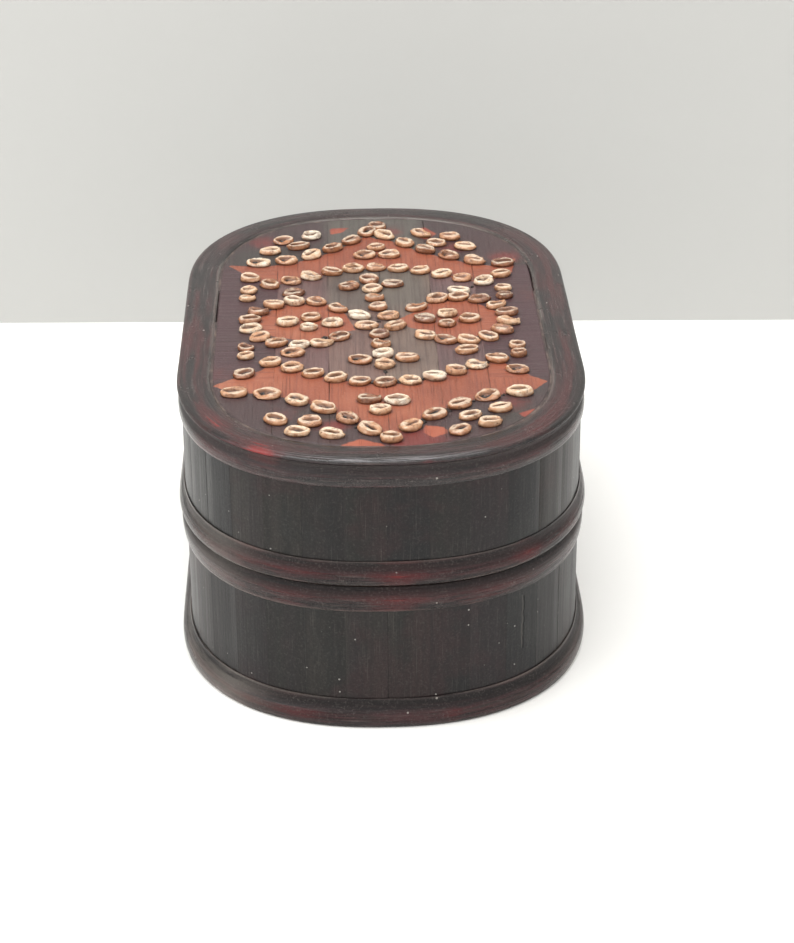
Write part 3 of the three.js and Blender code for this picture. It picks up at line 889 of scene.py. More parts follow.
base_low, base_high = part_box("base_wall")
lid_low, lid_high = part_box("lid_wall")
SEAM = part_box("base_top_rim")[1][2]
INNER = WALL_INSET + WALL_THICKNESS
LIP = INNER - LIP_THICKNESS
RECESS = LIP - LIP_CLEARANCE
LIP_EDGE = 0.4 * MM
LIP_TOP = base_high[2]
stave_wall("base_wall", list(np.linspace(base_low[2], SEAM, 7)), [
    (LIP, SEAM), (LIP, LIP_TOP - LIP_EDGE), (LIP + LIP_EDGE, LIP_TOP), (INNER - LIP_EDGE, LIP_TOP),
    (INNER, LIP_TOP - LIP_EDGE), (INNER, base_low[2]),
], 11)
stave_wall("lid_wall", list(np.linspace(lid_low[2], lid_high[2], 6)), [
    (INNER, lid_high[2]), (INNER, LIP_TOP + LIP_CLEARANCE), (RECESS, LIP_TOP + LIP_CLEARANCE),
    (RECESS, lid_low[2]),
], 12)


# %% [markdown]
# The shells lie in a hand-laid pattern that is nearly the same in all four quarters: chains that
# draw a wing at each end, a ring on each side, lozenges near the rim, and small motifs. Chains
# and rings are curves with shells at even steps; small motifs stand as solids of their own, so
# their places are read from the frame. Each place is (x, y, turn, size), and a shell lies along
# X before it is turned.

# %% Places of the shells
BOARD_TOP = LID_TOP - 0.5 * MM
BOARD_HALF_WIDTH = HALF_WIDTH - TOP_RIM_WIDTH - RIM_FIT
BOARD_HALF_LENGTH = HALF_LENGTH - TOP_RIM_WIDTH - RIM_FIT
LONG_SHELL = np.array((7.8, 5.9)) * MM
ROUND_SHELL = np.array((6.8, 6.0)) * MM
SHELL_HEIGHT = 2.2 * MM
PITCH = 8 * MM


def on_board(x, y):
    """A place on the board from shares of its half width and half length."""
    return np.array((x * BOARD_HALF_WIDTH, y * BOARD_HALF_LENGTH))


def outer_sweep(start, end, sweep):
    """A curve from the point of a wing down to the side of the board."""
    return lambda t: on_board(
        start[0] + (end[0] - start[0]) * t,
        end[1] + (start[1] - end[1]) * (1 - t) ** sweep,
    )


def inner_wave(end, middle, peak, trough, half, bend):
    """The wave across the board that a wing ends in."""
    return lambda t: on_board(
        middle + half * (2 * t - 1),
        end * (trough + (peak - trough) * abs(math.cos(math.pi * (t - 0.5))) ** bend),
    )


SWEEPS = {
    "far_right": outer_sweep((0.076, 0.806), (0.833, 0.508), 1.65),
    "far_left": outer_sweep((-0.04, 0.845), (-0.756, 0.546), 1.94),
    "near_right": outer_sweep((0.154, -0.866), (0.798, -0.624), 1.73),
    "near_left": outer_sweep((-0.079, -0.888), (-0.86, -0.59), 1.96),
}
WAVES = {
    "far": inner_wave(1, 0.005, 0.483, 0.333, 0.686, 1.23),
    "near": inner_wave(-1, 0.022, 0.532, 0.355, 0.677, 1.08),
}


def strung(curve, count, size=LONG_SHELL):
    """Shells at even steps along a curve, each lying along it."""
    line = np.array([curve(t) for t in np.linspace(0, 1, 401)])
    distance = np.r_[0, np.cumsum(np.hypot(*np.diff(line, axis=0).T))]
    steps = np.linspace(0, distance[-1], count)
    slope = np.gradient(line, axis=0)
    x, y = (np.interp(steps, distance, line[:, i]) for i in (0, 1))
    dx, dy = (np.interp(steps, distance, slope[:, i]) for i in (0, 1))
    return [(a, b, math.atan2(d, c), size) for a, b, c, d in zip(x, y, dx, dy)]


def inner_chain(side, end, beyond):
    """The shells of a wave lean against its slope, and one more lies beyond each end."""
    rows = [(x, y) for x, y, _, _ in strung(WAVES[side], 11)]
    rows += [tuple(on_board(hand * 0.81, end * beyond)) for hand in (-1, 1)]
    size = np.array((7.3, 5.9)) * MM
    lean = end * math.radians(20)
    return [(x, y, lean * max(-1.0, min(1.0, x / (25 * MM))), size) for x, y in rows]


def spin(turn):
    return np.array(((math.cos(turn), -math.sin(turn)), (math.sin(turn), math.cos(turn))))


def lozenge(x, y, slope):
    """Four shells, the long way of the lozenge at a slope, each leaning half as much."""
    turn = math.radians(slope)
    steps = np.array(((-1.25, 0), (1.25, 0), (0, -0.48), (0, 0.48))) * PITCH
    return [(*(on_board(x, y) + spin(turn) @ step), turn / 2, LONG_SHELL) for step in steps]


def side_ring(hand, x, y, start, end):
    """A ring of shells that lie across the board and lean most where the ring turns."""
    rows = strung(lambda t: on_board(
        hand * (x + 0.317 * math.cos(start + (end - start) * t)),
        y + 0.195 * math.sin(start + (end - start) * t),
    ), 11, LONG_SHELL * 0.98)
    lean = hand * math.radians(28)
    rows = [
        (a, b, lean * math.sin(start + (end - start) * i / 10), size)
        for i, (a, b, _, size) in enumerate(rows)
    ]
    return rows + [
        (*on_board(hand * 0.245, 0.103), lean, LONG_SHELL),
        (*on_board(hand * 0.527, 0.252), -lean / 2, LONG_SHELL),
        (*on_board(hand * 0.527, -0.278), lean / 2, LONG_SHELL),
    ]


SET_SHELLS = {
    "wing_shells_far": [
        (*on_board(0.03, 0.903), 0, ROUND_SHELL),
        *strung(SWEEPS["far_right"], 6, LONG_SHELL * 1.04),
        *strung(SWEEPS["far_left"], 6, LONG_SHELL * 1.04),
        *inner_chain("far", 1, 0.4),
    ],
    "wing_shells_near": [
        (*on_board(0.035, -0.953), 0, ROUND_SHELL * 1.05),
        *strung(SWEEPS["near_right"], 5, LONG_SHELL * 1.1),
        *strung(SWEEPS["near_left"], 6, LONG_SHELL * 1.1),
        *inner_chain("near", -1, 0.445),
    ],
    "lozenge_shells": [
        *lozenge(-0.55, 0.739, 44), *lozenge(0.464, 0.751, -41),
        *lozenge(-0.455, -0.862, -31), *lozenge(0.548, -0.826, 49),
    ],
    "ring_shells_left": side_ring(-1, 0.48, -0.018, 1.88, -2.42),
    "ring_shells_right": side_ring(1, 0.497, -0.005, 1.95, -2.3),
}
# Pieces of scene shells and the start of the names of the solids that they stand for
MOTIFS = {
    "column_shells_far": "shell_column_far", "column_shells_near": "shell_column_near",
    "trefoil_shells_far": "shell_trefoil_far", "trefoil_shells_near": "shell_trefoil_near",
    "flower_shells_left": "shell_flower_left", "flower_shells_right": "shell_flower_right",
    "pair_shells": "shell_pair", "centre_shells": "shell_centre",
}
# Turn of the shells that lie visibly aslant, in degrees
LEANS = {
    "shell_centre_far_left": -22, "shell_centre_far_right": 22, "shell_centre_near_right": 24,
    "shell_column_far_left": 15, "shell_column_far_right": -15, "shell_trefoil_far_left": 8,
    "shell_trefoil_near_left": 8, "shell_trefoil_near_right": -15, "shell_flower_left_left": 8,
    "shell_flower_left_right": 10, "shell_flower_right_left": -12, "shell_flower_right_right": 15,
}


def loose_places(stem):
    """Places of a motif's own solids; a solid's size tells which kind of shell it is."""
    found = []
    for node in sorted(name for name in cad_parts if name.startswith(stem)):
        low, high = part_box(node)
        width = high[0] - low[0]
        size = LONG_SHELL if width > 7.4 * MM else ROUND_SHELL
        if width < 6.2 * MM:
            size = ROUND_SHELL * 0.85
        turn = math.radians(LEANS.get(node, 0))
        found.append(((low[0] + high[0]) / 2, (low[1] + high[1]) / 2, turn, size))
    return found


print("set shells", sum(len(rows) for rows in SET_SHELLS.values()))


# %% [markdown]
# A cut shell is a low oval dome, thick and glossy at its lip, with the slot of the shell's mouth
# along it. It starts as a circle at its foot, extruded ring by ring over the dome and down into
# the mouth. Four kinds cover the lid: a closed bean, an open one that shows the column inside, a
# notched one whose lip is broken at one side, and a cup with a plain deep hole.

# %% One cut shell
SHELL_SIDES = 24
# Rings over a shell's dome: share of its length, of its width, and height
DOME = [(0.9, 0.88, -0.12), (0.98, 0.97, 0.06), (1.0, 1.0, 0.26), (0.99, 0.97, 0.5), (0.95, 0.91, 0.72),
        (0.89, 0.83, 0.9), (0.82, 0.75, 0.99)]
# Rings into a shell's mouth: share of its length, of its width, height and how far in they are
MOUTHS = {
    "bean": [(0.74, 0.58, 1.0, 0), (0.67, 0.38, 0.92, 0.05), (0.61, 0.26, 0.74, 0.4),
             (0.5, 0.15, 0.42, 0.9), (0.25, 0.06, 0.3, 1)],
    "open": [(0.76, 0.66, 0.99, 0), (0.7, 0.58, 0.84, 0.1), (0.62, 0.48, 0.5, 0.4),
             (0.5, 0.35, 0.22, 0.8), (0.36, 0.22, 0.15, 1), (0.22, 0.14, 0.46, 0.7),
             (0.08, 0.05, 0.6, 0.4)],
    "cup": [(0.74, 0.66, 0.99, 0), (0.65, 0.56, 0.84, 0.1), (0.56, 0.46, 0.5, 0.4),
            (0.42, 0.33, 0.22, 0.85), (0.2, 0.16, 0.12, 1)],
}
MOUTHS["notched"] = MOUTHS["open"]


NOTCH_AT = 1.1
NOTCH_REACH = 0.6


def cut_shell(kind, notch):
    """One shell along X, on the floor at the origin: 2 long, 2 wide and 1 high."""
    rings = [(*ring, 0, 0) for ring in DOME] + [(*ring, 1) for ring in MOUTHS[kind]]

    def put(i, step):
        length, width, height, inside, in_mouth = rings[step]
        angle = 2 * math.pi * i / SHELL_SIDES
        side, along = math.sin(angle), math.cos(angle)
        taper = 0.8 + 0.2 * along if in_mouth else abs(side) ** 0.06 * (1 - 0.1 * along)
        away = min(abs(angle - NOTCH_AT), 2 * math.pi - abs(angle - NOTCH_AT)) / NOTCH_REACH
        drop = notch * math.exp(-away * away) * max(0.0, height - 0.25) if step > 1 else 0
        x = along * length + 0.03 * in_mouth
        y = side * width * taper - 0.04 * in_mouth
        return (x, y, height - drop), inside

    shell = swept_circle(kind, SHELL_SIDES, len(rings), put, kept="hollow")
    bpy.ops.mesh.edge_face_add()
    close_mesh()
    return shell


# %% [markdown]
# The shell's own material runs from cream to orange tan, one tone for each shell. Its top is painted
# pale as a highlight, its foot painted brown as shade, and its hollow painted dark as shade. It is
# the glossiest thing on the box.

# %% Shell
def shell_material():
    material, nodes, shader = new_material("cut_shell", (214, 168, 128), 0.24, 0.3, 0.15)
    place = nodes.place()
    rise = nodes.read("rise")
    hollow = nodes.read("hollow")
    mottle = nodes.noise(place, 420, 4, 0.65)
    broad = nodes.noise(place, 170, 2)
    pits = nodes.step(nodes.noise(place, 1100, 2), 0.6, 0.68)
    painted_mouth_shade = nodes.total(hollow, nodes.swing(broad, 0.7))
    surface = nodes.ramp(
        nodes.total(nodes.read("tone"), nodes.swing(mottle, 1.1)),
        (0, (128, 80, 54)), (0.25, (178, 122, 86)), (0.5, (208, 154, 114)), (0.75, (230, 190, 152)),
        (1, (244, 230, 208)),
    )
    surface = nodes.paint(
        surface,
        (nodes.step(broad, 0.5, 0.64), 0.45, (204, 132, 84)),
        # Pale tops of the lips: painted highlight
        (nodes.times(nodes.step(rise, 0.75, 1), nodes.step(broad, 0.38, 0.54)), 0.6, (252, 236, 210)),
        # Brown low on the dome, toward the foot: painted shade
        (nodes.step(nodes.total(rise, (mottle, 0.3)), 0.85, 0.05), 0.8, (112, 64, 42)),
        (nodes.step(nodes.noise(place, 330, 5, 0.7), 0.53, 0.63), 0.5, (118, 70, 44)),
        (pits, 0.45, (74, 44, 30)),
        # Brown going to near black down into the mouth: painted shade
        (nodes.step(painted_mouth_shade, 0, 0.45), 0.85, (116, 72, 46)),
        (nodes.step(painted_mouth_shade, 0.5, 0.88), 1, (16, 10, 8)),
    )
    roughness = nodes.total(0.24, (hollow, 0.4))
    finish(nodes, shader, surface, roughness, nodes.total(mottle, (pits, -0.5)), 0.5, 0.6)
    return material


cut_shell_finish = shell_material()


# %% [markdown]
# No two shells are cut alike. Each copy takes one of the kinds, faces one way or the other, and
# gets its own small change of size, turn and height, and soft dents from noise. The shells of one
# chain or motif are joined to one piece.

# %% Lay the shells
KIND_NAMES = ["bean", "open", "notched", "cup"]
# How often each kind is taken for a nearly round shell and for a long one
ROUND_CHANCES = (0.12, 0.36, 0.17, 0.35)
LONG_CHANCES = (0.36, 0.34, 0.18, 0.12)


def lay_shells(name, rows, kinds, chance):
    """Copies the kinds to their places as one piece. A nearly round shell is more often a cup."""
    copies = []
    for x, y, turn, (length, width) in rows:
        chances = ROUND_CHANCES if width / length > 0.8 else LONG_CHANCES
        kind = kinds[chance.choice(len(KIND_NAMES), p=chances)]
        start_clean()
        shell = kind.copy()
        shell.data = kind.data.copy()
        bpy.context.collection.objects.link(shell)
        seed = chance.random() * 50
        lean = turn + math.radians(chance.normal(0, 8)) + (math.pi if chance.random() < 0.4 else 0)
        stretch = Matrix.Diagonal((
            length / 2 * (0.96 + 0.1 * chance.random()),
            width / 2 * (0.92 + 0.16 * chance.random()),
            SHELL_HEIGHT * (0.76 + 0.24 * chance.random()),
            1,
        ))
        move = Matrix.Translation((x, y, BOARD_TOP)) @ Matrix.Rotation(lean, 4, "Z") @ stretch
        rise = [v.co.z for v in shell.data.vertices]
        for vertex in shell.data.vertices:
            push = noise.noise_vector(vertex.co * 1.6 + Vector((seed, seed, 0)))
            fine = noise.noise_vector(vertex.co * 4.5 + Vector((0, seed, seed)))
            vertex.co += (push * 0.15 + fine * 0.07) * min(1.0, max(0.0, vertex.co.z) * 3)
            vertex.co.z *= 0.86 + 0.12 * (vertex.co.x * math.cos(seed) + vertex.co.y * math.sin(seed))
            vertex.co.z = min(vertex.co.z, 1.0)
        shell.data.transform(move)
        attribute(shell, "tone", np.full(len(rise), np.clip(chance.normal(0.43, 0.3), 0.0, 1.0)))
        attribute(shell, "rise", rise)
        copies.append(shell)
    piece = join_all(copies, name, cut_shell_finish)
    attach(piece, "root")
    return piece


def all_shells():
    kinds = [cut_shell(kind, 0.75 if kind == "notched" else 0.0) for kind in KIND_NAMES]
    chance = np.random.default_rng(21)
    total = 0
    for name, rows in SET_SHELLS.items():
        lay_shells(name, rows, kinds, chance)
        total += len(rows)
    for name, stem in MOTIFS.items():
        rows = loose_places(stem)
        piece = lay_shells(name, rows, kinds, chance)
        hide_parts(*[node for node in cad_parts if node.startswith(stem)])
        total += len(rows)
    for kind in kinds:
        bpy.data.objects.remove(kind, do_unlink=True)
    print("shells laid", total)


all_shells()


# %% [markdown]
# The shells were pressed into black putty, which has squeezed out between some of them. A lump is
# a low sphere, pushed out of shape by noise and laid between two neighbours.

# %% Putty
def putty_material():
    material, nodes, shader = new_material("black_putty", (34, 28, 28), 0.5)
    rough = nodes.noise(nodes.place(), 700, 4)
    surface = nodes.ramp(rough, (0.3, (18, 12, 10)), (0.7, (52, 38, 32)))
    finish(nodes, shader, surface, nodes.total(0.35, (rough, 0.3)), rough, 0.4, 0.7)
    return material


def between(rows, picks):
    """Middles between neighbours of a chain, as (x, y), for the picked gaps."""
    return [((rows[i][0] + rows[i + 1][0]) / 2, (rows[i][1] + rows[i + 1][1]) / 2) for i in picks]


# Lumps beside the small motifs, in millimetres
LOOSE_LUMPS = [(1.4, -41), (0.3, -1), (-2.6, -3.6), (3.4, 1.2), (2.5, 82.6), (5.8, 80.4), (-22.5, 2.6),
               (1.9, -90.6), (24, 71), (-8.6, -81), (33, 27.5), (-18, -13.6)]


def lay_putty():
    places_of_putty = [
        *between(strung(SWEEPS["near_right"], 5), range(4)),
        *between(strung(WAVES["near"], 11), (0, 4, 5, 6, 8, 9)),
        *between(SET_SHELLS["ring_shells_left"], (1, 7, 9)),
        *between(SET_SHELLS["ring_shells_right"], (3, 8)),
        *[np.array(spot) * MM for spot in LOOSE_LUMPS],
    ]
    chance = np.random.default_rng(8)
    lumps = []
    for x, y in places_of_putty:
        start_clean()
        bpy.ops.mesh.primitive_ico_sphere_add(subdivisions=3, radius=1)
        lump = bpy.context.object
        seed = chance.random() * 40
        for vertex in lump.data.vertices:
            vertex.co *= 1 + 0.8 * noise.noise(vertex.co * 2.2 + Vector((seed, 0, 0)))
        size = (0.4 + 0.6 * chance.random() ** 2) * MM
        lump.data.transform(
            Matrix.Translation((x, y, BOARD_TOP)) @ Matrix.Rotation(chance.random() * 6, 4, "Z")
            @ Matrix.Diagonal((size * 1.5, size * 0.9, 0.36 * MM, 1))
        )
        lumps.append(lump)
    piece = join_all(lumps, "putty_lumps", putty_material())
    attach(piece, "root")
    print("putty lumps", len(places_of_putty))


lay_putty()


# %% [markdown]
# The lid board is made of strips side by side, with cross-grained pieces at the two sides. Parts
# of it are stained terracotta: a wing at each end, a field inside each ring, and a few small
# patches. A stain has no thickness, so the mesh only carries how far each point is inside or
# outside a stained field, and the material draws a crisp, slightly ragged edge at zero. The wings
# end along the same curves as the chains of shells.

# %% Fields of stain
def segment_distance(points, a, b):
    """Distance of points to the straight line between two corners."""
    along = b - a
    share = np.clip(((points - a) @ along) / (along @ along), 0, 1)
    return np.linalg.norm(points - a - share[:, None] * along, axis=1)


def inside_distance(points, corners):
    """Distance of points to a closed outline in millimetres, above zero inside it."""
    nearest = np.full(len(points), 1e9)
    inside = np.zeros(len(points), dtype=bool)
    for a, b in zip(corners, np.roll(corners, -1, axis=0)):
        along = b - a
        if np.hypot(*along) < 1e-6:
            continue
        nearest = np.minimum(nearest, segment_distance(points, a, b))
        if along[1]:
            crosses = (a[1] > points[:, 1]) != (b[1] > points[:, 1])
            inside ^= crosses & (points[:, 0] < a[0] + (points[:, 1] - a[1]) * along[0] / along[1])
    return np.where(inside, nearest, -nearest)


def curve_points(curve, shares, shift=(0, 0)):
    return [tuple(curve(t) / MM + np.array(shift)) for t in shares]


TO_SIDE = np.linspace(0, 1, 16)
FROM_SIDE = TO_SIDE[::-1]
ACROSS = np.linspace(0, 1, 41)
# Fields in millimetres on the board, anticlockwise or clockwise
STAIN_FIELDS = [
    np.array([
        (-51.7, 50.8), (-45.8, 43), *curve_points(WAVES["far"], ACROSS),
        (47.5, 39.6), (50, 53.8), (47, 50.4), *curve_points(SWEEPS["far_right"], FROM_SIDE, (0, -1.8)),
        (1, 73.4), *curve_points(SWEEPS["far_left"], TO_SIDE, (0, -1.8)),
    ]),
    np.array([
        (-53.3, -49.2), (-45.8, -42.9), (-38.3, -38.3), *curve_points(WAVES["near"], ACROSS),
        (47.5, -45.8), (52.5, -50), (46.7, -57.5), *curve_points(SWEEPS["near_right"], FROM_SIDE),
        (1, -89), *curve_points(SWEEPS["near_left"], TO_SIDE[:-2], (0.5, 0.5)), (-47, -54),
    ]),
    np.array([
        (-40.5, -1), (-38.5, 6), (-34.5, 11.5), (-30, 17), (-18.5, 17), (-11.5, 8.5), (-7.5, -7.6),
        (-15, -10), (-18.5, -13.5), (-23.6, -16.5), (-29, -14), (-35, -11.5), (-39, -6),
    ]),
    np.array([
        (7, 1), (14.5, 9), (18, 15), (24, 16.8), (30, 16.4), (36, 11), (40.5, 5), (42.5, -1), (41.2, -6),
        (38.5, -10), (34, -13), (28.4, -18), (24, -15.5), (19.3, -14.8), (17.5, -10), (10, -6),
    ]),
]
SMALL_PATCHES = [
    np.array([(-16, 85), (-15.4, 78.6), (-11, 80.4), (-8.6, 85.2)]),
    np.array([(-16, -97.5), (-14, -93), (-7.5, -88.6), (-1, -92), (3, -97.5)]),
    np.array([(12, -79.6), (18, -81.6), (19.8, -85.6), (14.5, -88.6), (11.6, -85.4)]),
    np.array([(41.4, -72.6), (46.6, -69.6), (48.4, -73.4), (42.4, -76)]),
    np.array([(13.6, 82), (19, 84.6), (23, 78), (19.6, 72.4), (14.8, 75)]),
]
# Soft reddish places where the dark finish is worn thin: x, y, reach and strength
WORN_SPOTS = [
    (10, -91, 10, 0.9), (-15.5, -80, 5, 0.8), (-39, 72, 7, 0.6), (46, 54, 7, 0.7), (28, 64, 6, 0.6),
    (40, -66, 7, 0.5), (-52, -40, 9, 0.35), (53, 20, 12, 0.3), (-30, -71, 8, 0.35), (6, 80, 6, 0.6),
]


def stain_distance(points, fields):
    return np.max([inside_distance(points, field) for field in fields], axis=0)


def worn_share(points):
    worn = np.zeros(len(points))
    for x, y, reach, strength in WORN_SPOTS:
        worn += strength * np.exp(-np.sum((points - (x, y)) ** 2, axis=1) / reach ** 2)
    return worn


# %% [markdown]
# The board starts as a grid with about one millimetre between lines. A prism of the oval plan
# cuts it to shape with a boolean, and a wider flange underneath fits under the rim. Strip joints
# are drawn down into the grid as hairline grooves. A thin filler closes the gap to the rim, except
# where it has cracked and sunk along the right and left sides.

# %% Lid board
JOINTS = [-34.0, -16.5, 1.5, 18.5, 34.0]
# Cracks between the end pieces and the side pieces, as lines in millimetres
CRACKS = [
    [(-54, -49.6), (-50.6, -47), (-45.8, -42.9), (-38.3, -38.3)],
    [(54, -51), (52.5, -50), (47.5, -45.8), (44, -42)],
    [(-54, 52.4), (-51.7, 50.8), (-47, 45.4), (-44, 42)],
    [(54, 51.6), (49.4, 51.2)],
    [(-35, 92), (-37.4, 80), (-40, 75)],
]
BOARD_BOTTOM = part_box("lid_board")[0][2]
SLAB_DEPTH = 9 * MM
JOINT_WIDTH = 0.32


def oval_prism(name, section, count=240):
    """A solid oval: a face on the plan extruded up through (inset, height) steps."""
    points, outward = on_plan(even_stations(count))

    def put(i, step):
        inset, height = section[step]
        return (*(points[i] - outward[i] * inset), height), None

    piece = swept_circle(name, count, len(section), put, fill="NGON")
    close_mesh()
    return piece


def board_grid():
    """A slab whose top is a fine grid, with its lines drawn to the strip joints."""
    columns = 2 * round(BOARD_HALF_WIDTH / MM) + 4
    rows = 2 * round(BOARD_HALF_LENGTH / MM) + 4
    start_clean()
    bpy.ops.mesh.primitive_grid_add(x_subdivisions=columns, y_subdivisions=rows, size=2)
    slab = bpy.context.object
    slab.name = "lid_board_stained"
    lines = list(np.linspace(-1, 1, columns + 1) * (BOARD_HALF_WIDTH / MM + 1))
    for joint in JOINTS:
        nearest = int(np.argmin(np.abs(np.array(lines) - joint)))
        lines[nearest - 1:nearest + 2] = [joint - JOINT_WIDTH / 2, joint, joint + JOINT_WIDTH / 2]
    for vertex in slab.data.vertices:
        column = round((vertex.co.x + 1) / 2 * columns)
        x = lines[column]
        y = vertex.co.y * (BOARD_HALF_LENGTH / MM + 1)
        open_joint = max(0.0, 0.05 + 0.3 * noise.noise(Vector((x, y * 0.05, 0)))) if x in JOINTS else 0.0
        swell = 0.1 * noise.noise(Vector((x * 0.1, y * 0.03, 3)))
        vertex.co = (x * MM, y * MM, BOARD_TOP - (open_joint + 0.06 - swell) * MM)
    bpy.ops.object.mode_set(mode="EDIT")
    bpy.ops.mesh.select_all(action="SELECT")
    bpy.ops.mesh.extrude_region_move(TRANSFORM_OT_translate={"value": (0, 0, -SLAB_DEPTH)})
    close_mesh()
    return slab


def carve(piece, tool, operation):
    start_clean()
    bpy.context.view_layer.objects.active = piece
    piece.select_set(True)
    cut = piece.modifiers.new("cut", "BOOLEAN")
    cut.operation, cut.object, cut.solver = operation, tool, "EXACT"
    bpy.ops.object.modifier_apply(modifier="cut")
    bpy.data.objects.remove(tool, do_unlink=True)


def line_distance(points, line):
    """Distance of points to an open line of corners."""
    spans = zip(np.array(line), np.array(line[1:]))
    return np.min([segment_distance(points, a, b) for a, b in spans], axis=0)


def shell_gap(points):
    """Distance in millimetres from points of the board to the nearest shell's foot."""
    rows = [row for group in SET_SHELLS.values() for row in group]
    rows += [row for stem in MOTIFS.values() for row in loose_places(stem)]
    nearest = np.full(len(points), 1e9)
    for x, y, turn, size in rows:
        away = points - np.array((x, y)) / MM
        scaled = np.linalg.norm((away @ spin(turn)) / (size / 2 / MM), axis=1)
        nearest = np.minimum(nearest, (scaled - 1) * size[1] / 2 / MM)
    return nearest


def lid_board():
    board = board_grid()
    edge = TOP_RIM_WIDTH + RIM_FIT
    ledge = LID_TOP - TOP_RIM_THICKNESS - RIM_FIT
    carve(board, oval_prism("board_edge", [
        (edge, BOARD_BOTTOM), (edge, BOARD_TOP - 0.4 * MM), (edge + 0.4 * MM, BOARD_TOP - 0.02 * MM),
        (edge + 0.5 * MM, BOARD_TOP + 1 * MM),
    ]), "INTERSECT")
    flange = INNER + RIM_FIT
    carve(board, oval_prism("board_flange", [(flange, BOARD_BOTTOM), (flange, ledge)]), "UNION")
    flat = places(board)[:, :2] / MM
    attribute(board, "terracotta", stain_distance(flat, STAIN_FIELDS))
    attribute(board, "patch", stain_distance(flat, SMALL_PATCHES))
    attribute(board, "worn", worn_share(flat))
    attribute(board, "shell_gap", shell_gap(flat))
    attribute(board, "joint", np.min([np.abs(flat[:, 0] - joint) for joint in JOINTS], axis=0))
    attribute(board, "crack", np.min([line_distance(flat, line) for line in CRACKS], axis=0))
    soften(board, 30)
    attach(board, "root")
    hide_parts("lid_board")
    print("lid board modelled with", len(board.data.polygons), "faces")
    return board


def joint_filler():
    """The filler between rim and board; it has sunk along the open cracks of the two sides."""
    inner = TOP_RIM_WIDTH + 0.55 * MM
    outer = TOP_RIM_WIDTH - 0.35 * MM
    top = BOARD_TOP - 0.12 * MM
    section = [(inner, top - 1.5 * MM), (outer, top - 1.5 * MM), (outer, top), (inner, top)]
    distances = even_stations(RIM_STATIONS * 2)
    points, _ = on_plan(distances)
    sunk = {}
    for distance, (x, y) in zip(distances, points / MM):
        right = x > 0 and 24 < y < 50
        left = x < 0 and 2 < y < 28
        uneven = 0.12 + 0.2 * wander(distance, 0, 0.012, 9)
        sunk[distance] = (1.1 if right or left else max(0.0, uneven)) * MM

    piece, lie = ring("rim_joint_filler", section, distances)
    for vertex, (distance, _) in zip(piece.data.vertices, lie):
        if vertex.co.z > top - 0.1 * MM:
            vertex.co.z -= sunk[distances[int(np.argmin(np.abs(distances - distance)))]]
    soften(piece, 40)
    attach(piece, "root")
    return piece


board = lid_board()
filler = joint_filler()


# %% [markdown]
# The board's finish mixes three grounds: grey-brown strips with grain along the lid, purple-brown
# side pieces with grain across it, and the terracotta stain over both. Dirt darkens the joints.
# Round the feet of the shells the board is darkened: partly putty and dirt, partly painted shade.

# %% Finish of the lid board
# The strips' tones cover the board this far from its middle, in millimetres
STRIPS_REACH = 54
STRIP_TONES = [(76, 49, 54), (112, 82, 80), (124, 96, 88), (126, 106, 95), (112, 84, 84), (76, 49, 54)]
# The side pieces lie beyond the last joints, up to the cracks at the wings
SIDE_FROM = JOINTS[-1] * MM
SIDE_HALF_LENGTH = 47 * MM


